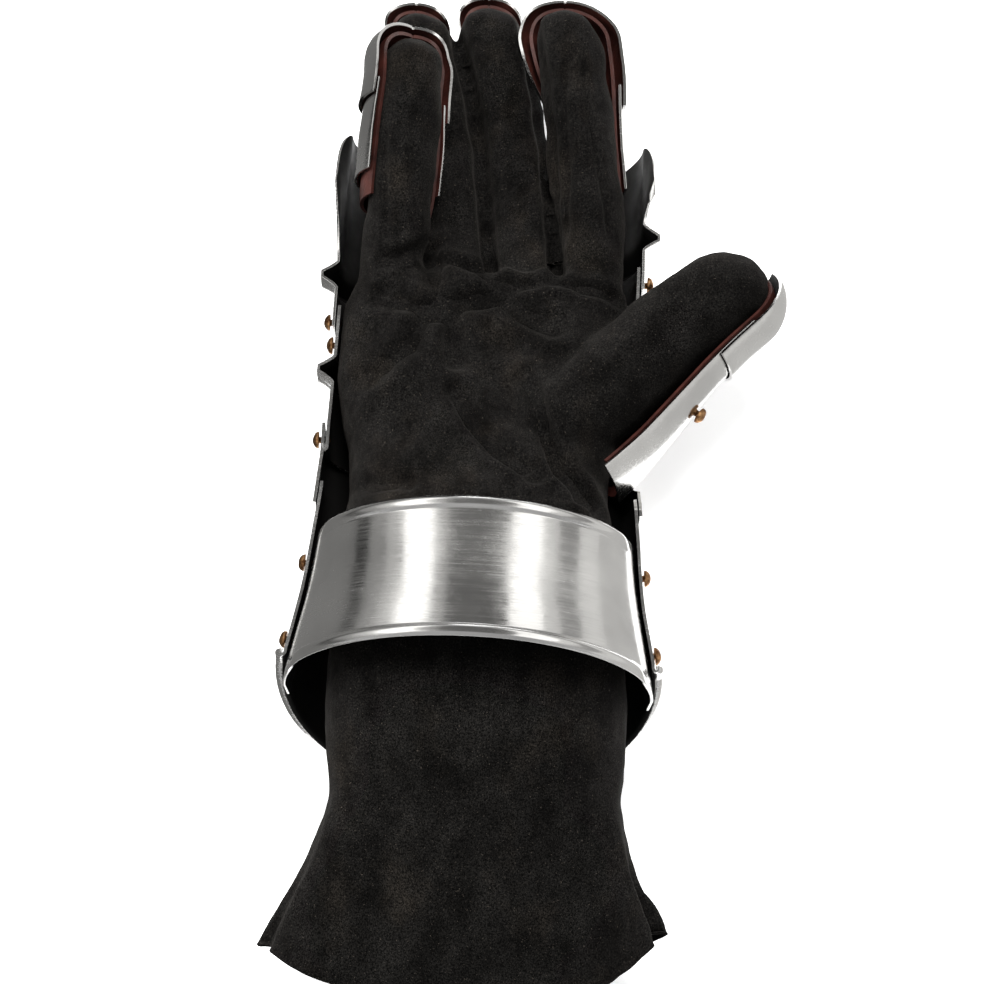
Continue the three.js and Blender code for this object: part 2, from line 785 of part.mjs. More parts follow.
// The thumb's stall goes through the hand part's wall and ends just inside it
const thumbStall = stall(thumb, 16, 6);
const thumbClear = { ...thumb, radius: thumbRadius + gap, tipRadius: thumbTipRadius + gap };
const thumbHole = fromManifold(toManifold(closedLoft(thumbClear)));
thumbHole.applyMatrix4(thumbGroup.matrix);
add(gauntlet, 'glove_hand', cutAway(handPart(), [thumbHole]), 'suede');
add(thumbGroup, 'thumb_stall', thumbStall, 'suede');

// The thumb's leather strip stands off at its root, where it runs to the hand's side.
// Its two plates ride on it, turned to the thumb's outer side.
const thumbEdge = 130;
const thumbStand = (share) => softGap
  + thumbStripStand * (1 - THREE.MathUtils.smoothstep(share, 0, 0.75));
const thumbWrap = (share) => [
  THREE.MathUtils.lerp(82, -8, THREE.MathUtils.smoothstep(share, 0, 0.7)), thumbEdge,
];
const thumbPlates = [
  { name: 'thumb_plate', from: -0.02, to: 0.8, layer: 0 },
  { name: 'thumb_tip_plate', from: 0.6, to: 1, layer: 1 },
];
const plateExtra = leather + 3 * gap;
const thumbStripShares = roundedShares(thumb, 0, 1, softGap, 7);
const thumbStripGrid = troughGrid(thumb, thumbStripShares, thumbStand, thumbWrap);
const thumbPieces = { thumb_strip: sheet(thumbStripGrid, leather, 1) };
for (const plate of thumbPlates) {
  const extra = plateExtra + plate.layer * (steel + 2 * gap);
  const shares = roundedShares(thumb, plate.from, plate.to, softGap + extra, 5);
  const grid = troughGrid(thumb, shares, (share) => thumbStand(share) + extra, thumbWrap);
  thumbPieces[plate.name] = sheet(grid, steel, 1);
}

// One rivet holds the larger thumb plate to the strip
const thumbOuter = (share) => thumbStand(share) + plateExtra + steel;
const thumbSpot = (share, turn) => {
  const section = fingerSection(thumb, share, thumbOuter(share));
  const x = section.x + section.half * Math.sin(turn);
  return new THREE.Vector3(x, section.y, section.z - section.down * Math.cos(turn));
};
const thumbRivetFrame = facing(
  thumbSpot,
  thumbRivet.share,
  THREE.MathUtils.degToRad(thumbRivet.turn),
);
const thumbRivetThick = plateExtra + steel;
const thumbBore = rivetHole(thumbRivetThick).applyMatrix4(thumbRivetFrame);
for (const name of ['thumb_strip', 'thumb_plate']) {
  thumbPieces[name] = cutAway(thumbPieces[name], [thumbBore]);
}
const thumbPin = add(thumbGroup, 'thumb_rivet', rivetGeometry(thumbRivetThick), 'brass');
thumbPin.applyMatrix4(thumbRivetFrame);
for (const [name, geometry] of Object.entries(thumbPieces)) {
  add(thumbGroup, name, geometry, name === 'thumb_strip' ? 'leather' : 'steel');
}

// A solid plug of the thumb's outer shape
function closedLoft(finger) {
  const sides = 16;
  const rings = roundedShares(finger, 0, 1, 0, 6).map((share) => {
    const section = fingerSection(finger, share, 0);
    const ring = [];
    for (let k = 0; k < sides; k += 1) {
      ring.push(ovalPoint(section, k / sides, 0));
    }
    return ring;
  });
  const points = rings.flat();
  const faces = [];
  const last = rings.length - 1;
  for (let i = 0; i < last; i += 1) {
    for (let k = 0; k < sides; k += 1) {
      const next = (k + 1) % sides;
      quad(faces, i * sides + k, i * sides + next, (i + 1) * sides + next, (i + 1) * sides + k);
    }
  }
  for (const [i, turned] of [[0, true], [last, false]]) {
    const middle = new THREE.Vector3();
    rings[i].forEach((point) => middle.addScaledVector(point, 1 / sides));
    points.push(middle);
    for (let k = 0; k < sides; k += 1) {
      const pair = [i * sides + k, i * sides + (k + 1) % sides];
      faces.push(...(turned ? [pair[1], pair[0]] : pair), points.length - 1);
    }
  }
  return closedSolid(points, faces);
}

// The knuckle ridge's crest is level with the line from it to the cuff's rim
function lowestAlong(geometry, slope) {
  const position = geometry.attributes.position;
  const lowest = new THREE.Vector3(0, 0, Infinity);
  const point = new THREE.Vector3();
  for (let k = 0; k < position.count; k += 1) {
    point.fromBufferAttribute(position, k);
    if (point.z - slope * point.y < lowest.z - slope * lowest.y) {
      lowest.copy(point);
    }
  }
  return lowest;
}

// The middle of the crest's outer face is brought to one level
function levelledCrest(slope) {
  const grid = knucklePlateGrid(slope);
  const geometry = sheet(grid, steel, 1);
  const lowest = lowestAlong(geometry, slope);
  const position = geometry.attributes.position;
  const across = placesAcross(6);
  for (const row of crestRows) {
    across.forEach((place, j) => {
      if (Math.abs(place) <= 1) {
        const k = (grid.length + row) * across.length + j;
        position.setZ(k, lowest.z + (position.getY(k) - lowest.y) * slope);
      }
    });
  }
  return geometry;
}

const plates = {
  cuff_plate: sheet(cuffGrid(), steel, 1),
  wrist_band: sheet(wristBandGrid(), steel, -1),
  wrist_lame: sheet(wristLameGrid(), steel, 1),
  hand_plate: sheet(handPlateGrid(), steel, 1),
};
let restSlope = 0;
for (let pass = 0; pass < 8; pass += 1) {
  plates.knuckle_plate = levelledCrest(restSlope);
  const rim = lowestAlong(plates.cuff_plate, restSlope);
  const crest = lowestAlong(plates.knuckle_plate, restSlope);
  restSlope = (crest.z - rim.z) / (crest.y - rim.y);
}

// Rivets down both sides: the distance along, the faces of the plates that each one
// holds, as distances outwards from the shell, and the plates' names
const rivets = [
  {
    y: bandTopY - 0.7 * bandLength,
    outer: steel,
    inner: -bandGap - steel,
    holds: ['cuff_plate', 'wrist_band'],
  },
  {
    y: bandTopY - bandLength / 6,
    outer: steel,
    inner: -bandGap - steel,
    holds: ['cuff_plate', 'wrist_band'],
  },
  {
    y: (handStart + wristEnd) / 2,
    outer: overLayer + steel,
    inner: 0,
    holds: ['wrist_lame', 'hand_plate'],
  },
  {
    y: knuckleStart - 0.62 * lameOverlap,
    outer: steel,
    inner: 0,
    holds: ['hand_plate'],
    oneSide: true,
  },
  {
    y: (knuckleStart + handEnd) / 2,
    outer: overLayer + steel,
    inner: 0,
    holds: ['knuckle_plate', 'hand_plate'],
  },
];

rivets.forEach((row, index) => {
  const thick = row.outer - row.inner;
  const sides = row.oneSide ? [['left', -1]] : [['left', -1], ['right', 1]];
  for (const [sideName, side] of sides) {
    const frame = rivetFrame(row, side);
    const hole = rivetHole(thick).applyMatrix4(frame);
    for (const name of row.holds) {
      plates[name] = cutAway(plates[name], [hole]);
    }
    const rivet = add(gauntlet, `rivet_${sideName}_${index + 1}`, rivetGeometry(thick), 'brass');
    rivet.applyMatrix4(frame);
  }
});

for (const [name, geometry] of Object.entries(plates)) {
  add(gauntlet, name, geometry, 'steel');
}

// Laid on its back: level between the cuff's rim and the knuckle ridge, and centred
const part = new THREE.Group();
gauntlet.rotation.x = -Math.atan(restSlope);
part.add(gauntlet);
part.updateMatrixWorld(true);
const box = new THREE.Box3().setFromObject(part, true);
gauntlet.position.set(
  -(box.min.x + box.max.x) / 2,
  -(box.min.y + box.max.y) / 2,
  -box.min.z,
);

export default part;
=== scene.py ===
# %% [markdown]
# # A steel gauntlet over a suede glove
# This lesson dresses the plain solids of an armoured gauntlet for a right hand.
# It lies on its steel back, palm up. A dark suede glove fills it, the steel wraps
# the back and the sides, and a band of steel crosses the inside of the wrist.
# We work in the hand's own frame, in millimetres: +Y runs to the fingertips, +Z out
# of the palm and +X to the thumb. One matrix then lays every piece down where the
# solids lie, in metres.

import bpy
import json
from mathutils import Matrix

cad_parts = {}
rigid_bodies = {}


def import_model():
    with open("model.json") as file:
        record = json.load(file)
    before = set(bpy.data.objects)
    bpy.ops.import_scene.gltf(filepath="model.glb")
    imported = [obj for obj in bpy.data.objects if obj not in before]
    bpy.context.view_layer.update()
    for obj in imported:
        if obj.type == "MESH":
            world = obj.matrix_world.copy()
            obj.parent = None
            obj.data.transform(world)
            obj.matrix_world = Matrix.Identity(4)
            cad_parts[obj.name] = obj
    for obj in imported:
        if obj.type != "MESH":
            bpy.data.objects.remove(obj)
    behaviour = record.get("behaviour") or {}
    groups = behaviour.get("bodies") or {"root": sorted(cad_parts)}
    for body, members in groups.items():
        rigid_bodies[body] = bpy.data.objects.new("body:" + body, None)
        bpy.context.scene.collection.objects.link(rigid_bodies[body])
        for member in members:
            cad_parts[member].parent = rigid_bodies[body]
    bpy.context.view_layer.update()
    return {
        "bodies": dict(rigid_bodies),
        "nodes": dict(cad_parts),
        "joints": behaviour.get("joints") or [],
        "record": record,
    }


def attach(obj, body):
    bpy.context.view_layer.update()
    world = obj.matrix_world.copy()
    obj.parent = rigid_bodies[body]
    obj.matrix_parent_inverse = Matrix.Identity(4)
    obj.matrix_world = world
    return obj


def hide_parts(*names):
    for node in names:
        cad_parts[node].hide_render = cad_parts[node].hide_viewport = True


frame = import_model()

# %% The hand's own frame
import json
import math
import bmesh
import bpy
from mathutils import Matrix, Vector, noise

MM = 0.001  # Blender counts in metres
REST_TILT = math.radians(-4.967)
REST_PLACE = Vector((-21.939, -34.86, 45.9))
LAY_DOWN = (
    Matrix.Scale(MM, 4)
    @ Matrix.Translation(REST_PLACE)
    @ Matrix.Rotation(REST_TILT, 4, "X")
)


def mix(a, b, share):
    return a + (b - a) * share


def clamp(value, low=0.0, high=1.0):
    return max(low, min(high, value))


def ease(value, start, end):
    """0 before start, 1 after end, and a soft S between them."""
    share = clamp((value - start) / (end - start))
    return share * share * (3 - 2 * share)


def steps(start, end, count):
    return [mix(start, end, k / count) for k in range(count + 1)]


print("tilt at rest, degrees:", round(math.degrees(REST_TILT), 2))

# %% [markdown]
# ## Surfaces from grids
# Nearly every piece here is a curved sheet: a plate, a strip or a tube of suede. A
# sheet is easy to describe as a grid of points, row by row, worked out from a few
# named sizes. Sculpting or subdividing a cube could also give such shapes, but a
# grid keeps every edge exactly where the solids have it, and it can be as fine as
# the polish needs. Thickness and a small worn edge come from modifiers.

# %% A grid of points becomes a sheet
def mesh_object(name, points, faces):
    mesh = bpy.data.meshes.new(name)
    mesh.from_pydata([LAY_DOWN @ point for point in points], [], faces)
    mesh.update()
    obj = bpy.data.objects.new(name, mesh)
    bpy.context.collection.objects.link(obj)
    mesh.shade_smooth()
    return obj


def grid_faces(rows, columns, ring=False):
    faces = []
    for i in range(rows - 1):
        for j in range(columns if ring else columns - 1):
            k = (j + 1) % columns
            a = i * columns
            faces.append((a + j, a + k, a + columns + k, a + columns + j))
    return faces


def sheet_object(name, grid):
    points = [point for line in grid for point in line]
    return mesh_object(name, points, grid_faces(len(grid), len(grid[0])))


print("one grid step is about 1.5 mm, so a plate has some thousands of faces")

# %% Thickness and worn edges
def apply_modifiers(obj):
    depsgraph = bpy.context.evaluated_depsgraph_get()
    mesh = bpy.data.meshes.new_from_object(obj.evaluated_get(depsgraph))
    obj.modifiers.clear()
    old = obj.data
    obj.data = mesh
    bpy.data.meshes.remove(old)


SHARP_CORNER = math.radians(50)


def thicken(obj, thickness, worn, out):
    """Give a sheet its thickness on the side that out names, and worn edges."""
    solid = obj.modifiers.new("Thickness", "SOLIDIFY")
    solid.thickness = thickness * MM
    solid.offset = out
    solid.use_even_offset = False
    edge = obj.modifiers.new("Worn edge", "BEVEL")
    edge.width = worn * MM
    edge.segments = 3
    edge.limit_method = "ANGLE"
    edge.angle_limit = SHARP_CORNER
    apply_modifiers(obj)
    obj.data.shade_smooth()
    sharp = obj.modifiers.new("Clean shading", "WEIGHTED_NORMAL")
    sharp.keep_sharp = True
    apply_modifiers(obj)
    return obj


print("corners over", round(math.degrees(SHARP_CORNER)), "degrees are worn round")

# %% A smooth curve through a table
def curve_through(rows, key, at):
    """A smooth curve through one column of a table, read at one place."""
    last = len(rows) - 1
    i = 0
    while i < last - 1 and at > rows[i + 1]["at"]:
        i += 1
    a, b = rows[i], rows[i + 1]
    span = b["at"] - a["at"]
    share = clamp((at - a["at"]) / span)
    before = rows[max(i - 1, 0)]
    after = rows[min(i + 2, last)]
    into = (b[key] - before[key]) / (b["at"] - before["at"]) * span
    away = (after[key] - a[key]) / (after["at"] - a["at"]) * span
    s2 = share * share
    s3 = s2 * share
    return (
        a[key] * (2 * s3 - 3 * s2 + 1) + into * (s3 - 2 * s2 + share)
        + b[key] * (3 * s2 - 2 * s3) + away * (s3 - s2)
    )


def table(columns, lines):
    """Rows of named values from short lines of numbers."""
    return [dict(zip(columns, line)) for line in lines]


trial = table(("at", "wide"), ((0, 1), (1, 3)))
print("halfway between 1 and 3:", curve_through(trial, "wide", 0.5))

# %% [markdown]
# ## The steel's own shape
# The cuff, the wrist lame, the hand plate and the knuckle plate overlap like roof
# tiles, so all of them follow one long inner surface. Its sections are level at the
# back, then a quarter arc at each side, then a short wall beside the hand. The
# surface narrows at the wrist and flares to the cuff, which gives the hourglass.
# One table of sections serves all the plates, and each plate lifts off it by its
# own layer.

# %% The shell's sections
HALF_HAND = 60
BACK_DEPTH = 28
SHELL_REACH = 240
WALL_RISE = 8
FLAT_BACK = 25
STEEL = 1.2
GAP = 0.3
OVER_LAYER = STEEL + 2 * GAP
PLACE_STEPS = 132

# shares of the sizes above; edge is how far up the thumb's side the steel goes
SHELL = table(("at", "half", "deep", "flat", "edge"), (
    (-0.36, 1.23, 1.8, 0.3, 1),
    (-0.25, 1.19, 1.68, 0.3, 1),
    (-0.1, 1.085, 1.42, 0.4, 1),
    (0.02, 1.035, 1.26, 0.5, 1),
    (0.06, 1.02, 1.18, 0.65, 1),
    (0.1, 1.01, 1.12, 0.8, 0.55),
    (0.14, 1, 1.08, 0.95, 0.36),
    (0.19, 1, 1.04, 1, 0.25),
    (0.3, 0.99, 1, 1, 0.2),
    (0.37, 0.985, 0.99, 1, 0.3),
    (0.42, 0.985, 0.98, 1, 0.8),
    (0.48, 0.985, 0.96, 1, 1),
    (0.56, 0.98, 0.94, 1, 1),
    (0.72, 0.965, 0.9, 1, 1),
))
print("sections of the shell:", len(SHELL))

# %% Points on the shell
def shell(y, key):
    return curve_through(SHELL, key, y / SHELL_REACH)


def shell_point(y, place, lift):
    """A point of the shell. place is 0 at the back's middle, 1 where the arc
    starts, 2 where the wall starts and 3 at its edge, and minus on the far side."""
    half = shell(y, "half") * HALF_HAND + lift
    deep = shell(y, "deep") * BACK_DEPTH + lift
    level = shell(y, "flat") * FLAT_BACK
    side = math.copysign(1, place)
    far = abs(place)
    if far <= 1:
        return Vector((place * level, y, -deep))
    if far <= 2:
        turn = (far - 1) * math.pi / 2
        return Vector((
            side * (level + (half - level) * math.sin(turn)), y, -deep * math.cos(turn)
        ))
    return Vector((side * half, y, (far - 2) * WALL_RISE))


def thumb_side(place, y):
    """On the thumb's side the steel stops short, where the thumb leaves the hand."""
    return place if place <= 1 else 1 + (place - 1) * shell(y, "edge")


def back_share(place):
    far = abs(place)
    return 1 if far <= 1 else max(math.cos((far - 1) * math.pi / 2), 0)


PLACES = steps(-3, 3, PLACE_STEPS)
print("the shell is", round(2 * shell(0, "half") * HALF_HAND), "mm wide at the wrist")

# %% [markdown]
# ## Hammered steel is never quite even
# A plate raised by hand keeps broad, shallow waves that no sanding removes, and a
# polished plate shows them in its reflections. A noise texture could bend only the
# shading, but then the outline would stay perfect, so we move the points
# themselves by a tenth or two of a millimetre.

# %% Shallow waves
WAVE_SIZE = 22.0
WAVE_DEEP = 0.16
PLACE_WIDE = 40  # millimetres of steel that one unit of place stands for


def hammered(x, y, seed, size=WAVE_SIZE, deep=WAVE_DEEP):
    """Broad waves, with weaker and finer ones on top."""
    spot = Vector((x / size, y / size, seed))
    return deep * noise.noise(spot) + 0.35 * deep * noise.noise(spot * 2.7)


def plate_grid(rows, shape, seed):
    """rows have a distance along and a lift, shape adds a distance at a place."""
    grid = []
    for row in rows:
        line = []
        for place in PLACES:
            y = row["y"] + shape(place, row)
            there = thumb_side(place, y)
            wave = hammered(there * PLACE_WIDE, y, seed) + WAVE_DEEP
            line.append(shell_point(y, there, row["lift"] + wave))
        grid.append(line)
    return grid


print("waves of about 0.2 mm on plates 1.2 mm thick")

# %% [markdown]
# ## The finish of the steel
# The steel is bare, polished and a little used. Its reflections are sharp enough to
# show the room, yet drawn out across the polishing marks. A metal shader does the
# reflections. Two noise patterns, one stretched along each way that the polishing
# cloth went, vary the roughness and raise very fine lines. A photograph laid on
# the surface could not do this, because its highlights would stay still when the
# piece is turned.

# %% A material and a pattern
def new_material(name, color, rough, metal=0.0):
    material = bpy.data.materials.new(name)
    material.use_nodes = True
    shader = material.node_tree.nodes["Principled BSDF"]
    shader.inputs["Base Color"].default_value = (*color, 1)
    shader.inputs["Roughness"].default_value = rough
    shader.inputs["Metallic"].default_value = metal
    material.diffuse_color = (*color, 1)
    return material, material.node_tree, shader


def stretched_noise(tree, scale, detail, rough=0.6):
    """Noise in object coordinates, with its own scale along each axis."""
    place = tree.nodes.new("ShaderNodeTexCoord")
    stretch = tree.nodes.new("ShaderNodeMapping")
    stretch.inputs["Scale"].default_value = scale
    pattern = tree.nodes.new("ShaderNodeTexNoise")
    pattern.inputs["Scale"].default_value = 1
    pattern.inputs["Detail"].default_value = detail
    pattern.inputs["Roughness"].default_value = rough
    tree.links.new(place.outputs["Object"], stretch.inputs["Vector"])
    tree.links.new(stretch.outputs["Vector"], pattern.inputs["Vector"])
    return pattern.outputs["Fac"]


print("a finish starts from one colour and some stretched noise")

# %% Turning a pattern into roughness or colour
def feed(tree, socket, value):
    """A socket takes a plain value, or what another node gives."""
    if isinstance(value, bpy.types.NodeSocket):
        tree.links.new(value, socket)
    else:
        socket.default_value = value


def remap(tree, value, from_low, from_high, to_low, to_high):
    node = tree.nodes.new("ShaderNodeMapRange")
    node.inputs["From Min"].default_value = from_low
    node.inputs["From Max"].default_value = from_high
    node.inputs["To Min"].default_value = to_low
    node.inputs["To Max"].default_value = to_high
    tree.links.new(value, node.inputs["Value"])
    return node.outputs["Result"]


def ramp(tree, value, stops):
    node = tree.nodes.new("ShaderNodeValToRGB")
    elements = node.color_ramp.elements
    while len(elements) < len(stops):
        elements.new(0.5)
    for element, (place, color) in zip(elements, stops):
        element.position = place
        element.color = (*color, 1)
    tree.links.new(value, node.inputs["Fac"])
    return node.outputs["Color"]


print("a pattern can be remapped or coloured")

# %% Mixing patterns and raising them
def arithmetic(tree, kind, a, b):
    node = tree.nodes.new("ShaderNodeMath")
    node.operation = kind
    for socket, value in zip(node.inputs, (a, b)):
        feed(tree, socket, value)
    return node.outputs["Value"]


def blended(tree, kind, share, a, b):
    """Two colours, mixed or multiplied, by a share."""
    node = tree.nodes.new("ShaderNodeMix")
    node.data_type = "RGBA"
    node.blend_type = kind
    for key, value in (("Factor", share), ("A", a), ("B", b)):
        feed(tree, node.inputs[key], value)
    return node.outputs["Result"]


def raise_bump(tree, shader, height, depth_mm, strength=1.0):
    bump = tree.nodes.new("ShaderNodeBump")
    bump.inputs["Strength"].default_value = strength
    bump.inputs["Distance"].default_value = depth_mm * MM
    tree.links.new(height, bump.inputs["Height"])
    tree.links.new(bump.outputs["Normal"], shader.inputs["Normal"])


print("helpers for materials are ready")

# %% Polished steel
STEEL_COLOR = (0.71, 0.705, 0.695)
DULL_STEEL, CLEAR_STEEL = (0.62, 0.615, 0.605), (0.82, 0.815, 0.8)


def polished_steel(name, along, across, rough=0.16, depth=0.6):
    """along and across are the noise scales, in waves a metre, of the two ways."""
    material, tree, shader = new_material(name, STEEL_COLOR, rough, 1.0)
    lines = stretched_noise(tree, along, 3)
    cross = stretched_noise(tree, across, 3)
    clouds = stretched_noise(tree, (22, 22, 22), 3, 0.5)
    both = arithmetic(tree, "ADD", lines, arithmetic(tree, "MULTIPLY", cross, 0.45))
    rough_now = arithmetic(
        tree, "ADD",
        remap(tree, both, 0.45, 1.0, rough - 0.05, rough + 0.14),
        remap(tree, clouds, 0.35, 0.7, -0.03, 0.08),
    )
    tree.links.new(rough_now, shader.inputs["Roughness"])
    tone = ramp(tree, clouds, ((0.3, DULL_STEEL), (0.62, CLEAR_STEEL)))
    tree.links.new(tone, shader.inputs["Base Color"])
    raise_bump(tree, shader, both, 0.06, depth)
    return material


POLISHED = polished_steel("Polished steel", (40, 900, 900), (1400, 30, 1400))
BAND_STEEL = polished_steel("Band steel", (30, 1500, 30), (300, 300, 300), 0.12, 0.2)
print("steel finishes:", POLISHED.name, "and", BAND_STEEL.name)

# %% [markdown]
# ## The plates of the cuff and hand
# Inside, the steel gets a near-black material: painted shade for the dark hollow
# between the steel and the glove. So each plate carries two materials, and every face
# takes the one that its own direction asks for: away from the hand it is polished,
# towards the hand it is painted near black as shade. Two objects back to back would
# show a seam at the edge, and a shader that tests for back faces would not survive
# the export.

# %% Black inside, bright outside
# painted shade: this near-black material stands in for the shade inside the shell
def painted_shade_inside():
    material, tree, shader = new_material("Black inside", (0.006, 0.0057, 0.0054), 0.5)
    shader.inputs["Specular IOR Level"].default_value = 0.15
    clouds = stretched_noise(tree, (90, 90, 90), 5)
    tree.links.new(remap(tree, clouds, 0.3, 0.7, 0.38, 0.62), shader.inputs["Roughness"])
    raise_bump(tree, shader, clouds, 0.15, 0.4)
    return material


INSIDE_SHADE_PAINT = painted_shade_inside()
STAND_UP = LAY_DOWN.inverted()
TURN_UP = STAND_UP.to_3x3().normalized()
INWARD = -0.25  # a face whose direction has less than this of outwards is inside


def finish_steel(obj, node, bright, heart, inside=INSIDE_SHADE_PAINT):
    """heart gives the middle of the hand near a point, so that out is away from it."""
    obj.data.materials.append(bright)
    obj.data.materials.append(inside)
    for face in obj.data.polygons:
        spot = STAND_UP @ face.center
        out = (spot - heart(spot)).normalized()
        # faces towards the hand take the inside material; the near-black one is painted shade
        face.material_index = 1 if (TURN_UP @ face.normal).dot(out) < INWARD else 0
    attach(obj, "root")
    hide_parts(node)
    print(obj.name, "faces:", len(obj.data.polygons))


HEART_HIGH = 4


def hand_heart(spot):
    level = shell(spot.y, "flat") * FLAT_BACK
    return Vector((clamp(spot.x, -level, level), spot.y, HEART_HIGH))


print("black inside is ready")

# %% [markdown]
# ## The cuff
# The cuff flares over the forearm, and its rim is rolled outwards so that it can't
# cut the arm. The roll is part of the same sheet: the first rows of the grid simply
# go round a small circle before they run up the plate.

# %% The cuff and its rolled rim
ROLL = 1.1
ROLL_TURNS = steps(195, 12, 16)
ROLL_WAVES = 0.2
RIM_SIDE_Y = -52
RIM_DROP = 30
CUFF_END_Y = 20


def cuff_grid():
    rows = []
    for turn in ROLL_TURNS:
        angle = math.radians(turn)
        rows.append((0, ROLL - ROLL * math.sin(angle), ROLL - ROLL * math.cos(angle)))
    rows += [(share, 0, 0) for share in steps(0.03, 1, 56)]
    grid = []
    for share, along, lift in rows:
        line = []
        for place in PLACES:
            rim = RIM_SIDE_Y - RIM_DROP * back_share(place)
            y = mix(rim, CUFF_END_Y, share) + along
            there = thumb_side(place, y)
            wave = hammered(there * PLACE_WIDE, y, 3.1) + WAVE_DEEP
            wave *= 1 if share else ROLL_WAVES
            # the roll dies away at the rim's two ends
            open_roll = 1 - 0.85 * ease(abs(place), 2.7, 3)
            line.append(shell_point(y, there, lift * open_roll + wave))
        grid.append(line)
    return grid


cuff = sheet_object("Cuff", cuff_grid())
thicken(cuff, STEEL, 0.25, 1)
finish_steel(cuff, "cuff_plate", POLISHED, hand_heart)

# %% [markdown]
# ## The lames of the wrist and the hand
# The wrist lame is plain. The hand plate and the knuckle plate each carry a sharp
# ridge across the back, hammered up from inside, which shows at both sides as a
# small spike. The edges and ridges lean towards the thumb's side as the knuckles do.

# %% Where the lames start and end
LAME_OVERLAP = 9
RIDGE_HEIGHT = 6
RIDGE_FOOT = 6
CREST_HALF = 1.5
HAND_RIDGE_Y = 80
KNUCKLE_RIDGE_Y = 122
LOBE_REACH = 30
LOBE_FLARE = 4
LOBE_START_Y = 128
LEAN = 0.19
ROW_STEP = 1.6
WRIST_LONG, HAND_LONG, KNUCKLE_LONG = 34, 72, 49
WRIST_START = CUFF_END_Y - LAME_OVERLAP
WRIST_END = WRIST_START + WRIST_LONG
HAND_START = WRIST_END - LAME_OVERLAP
HAND_END = HAND_START + HAND_LONG
KNUCKLE_START = HAND_END - LAME_OVERLAP
KNUCKLE_END = KNUCKLE_START + KNUCKLE_LONG
print("the plates run from", WRIST_START, "to", KNUCKLE_END, "mm")

# %% A ridge across the back
def ridge(y, middle):
    """A tent with a narrow level top."""
    share = clamp((RIDGE_FOOT - abs(y - middle)) / (RIDGE_FOOT - CREST_HALF))
    return RIDGE_HEIGHT * share ** 1.2


def lean(place):
    return LEAN * HALF_HAND * clamp(place / 2, -1, 1)


def rows_with_ridge(start, end, middle, lift):
    """Rows about 1.5 mm apart, closer across the ridge."""
    before = max(2, round((middle - start) / ROW_STEP))
    after = max(2, round((end - middle) / ROW_STEP))
    marks = {start, end}
    marks.update(steps(start, middle - RIDGE_FOOT, before))
    marks.update(steps(middle + RIDGE_FOOT, end, after))
    marks.update(steps(middle - RIDGE_FOOT, middle - CREST_HALF, 6))
    marks.update(steps(middle + CREST_HALF, middle + RIDGE_FOOT, 6))
    return [{"y": y, "lift": lift + ridge(y, middle)} for y in sorted(marks)]


def level_crest(grid, rows):
    """The knuckle ridge's crest lies flat on the table, so its middle is levelled."""
    for row, line in zip(rows, grid):
        high = ridge(row["y"], KNUCKLE_RIDGE_Y) / RIDGE_HEIGHT
        for place, point in zip(PLACES, line):
            near = 1 - ease(abs(place), 1, 1.35)
            point.z -= lean(place) * math.tan(REST_TILT) * high * near


print("the ridges are", RIDGE_HEIGHT, "mm high")

# %% A lobe at each side
def lobe_share(y):
    """How far a row is drawn out into the lobes: slowly, then fast in the last ones."""
    lobe = 0.4 * clamp((y - LOBE_START_Y) / (KNUCKLE_END - LAME_OVERLAP - LOBE_START_Y))
    return lobe + 0.6 * clamp((y - KNUCKLE_END + LAME_OVERLAP) / LAME_OVERLAP)


def knuckle_shape(place, row):
    """The edge leans with the knuckles and reaches out at both sides, round-cornered."""
    outward = ease(abs(place), 0.6, 1.85) ** 0.7
    lobe = lobe_share(row["y"])
    past = clamp(abs(place) - 2)
    corner = mix(0.15, 1, math.sqrt(1 - past * past))
    return lean(place) * (1 - lobe * outward) + lobe * LOBE_REACH * outward * corner


def open_lobes(grid, rows):
    """The two lobes lean away from the fingers towards their free edge."""
    for row, line in zip(rows, grid):
        for place, point in zip(PLACES, line):
            away = LOBE_FLARE * lobe_share(row["y"]) * ease(abs(place), 1.9, 3)
            point.x += math.copysign(away, place)


print("each lobe reaches", LOBE_REACH, "mm further than the edge between them")

# %% Three lames
wrist_rows = [{"y": y, "lift": OVER_LAYER} for y in steps(WRIST_START, WRIST_END, 24)]
wrist_lame = sheet_object("Wrist_lame", plate_grid(wrist_rows, lambda place, row: 0, 5.7))
thicken(wrist_lame, STEEL, 0.25, 1)
finish_steel(wrist_lame, "wrist_lame", POLISHED, hand_heart)

hand_rows = rows_with_ridge(HAND_START, HAND_END, HAND_RIDGE_Y, 0)
hand_grid = plate_grid(
    hand_rows,
    lambda place, row: lean(place) * clamp((row["y"] - HAND_START) / LAME_OVERLAP),
    8.3,
)
hand_plate = sheet_object("Hand_plate", hand_grid)
thicken(hand_plate, STEEL, 0.25, 1)
finish_steel(hand_plate, "hand_plate", POLISHED, hand_heart)

knuckle_rows = rows_with_ridge(KNUCKLE_START, KNUCKLE_END, KNUCKLE_RIDGE_Y, OVER_LAYER)
knuckle_grid = plate_grid(knuckle_rows, knuckle_shape, 12.9)
level_crest(knuckle_grid, knuckle_rows)
open_lobes(knuckle_grid, knuckle_rows)
knuckle_plate = sheet_object("Knuckle_plate", knuckle_grid)
thicken(knuckle_plate, STEEL, 0.25, 1)
finish_steel(knuckle_plate, "knuckle_plate", POLISHED, hand_heart)

# %% [markdown]
# ## The wrist band
# The band closes the waist on the palm side. It is one strip, arched from side to
# side, with its ends tucked inside the cuff, and a bead along each long edge makes
# it stiff. The bead is rows of the same grid lifted by a round bump, so light runs
# unbroken from the band over the bead.

# %% Rows of the band
BAND_TOP_Y = -2
BAND_LENGTH = 60
BAND_HIGH = 49
BAND_TUCK = 9
BAND_GAP = 0.45
BEAD_WIDE = 5.5
BEAD_HIGH = 2.2
BEAD_STEPS = 12
BAND_STEPS = 34
BAND_COLUMNS = 120


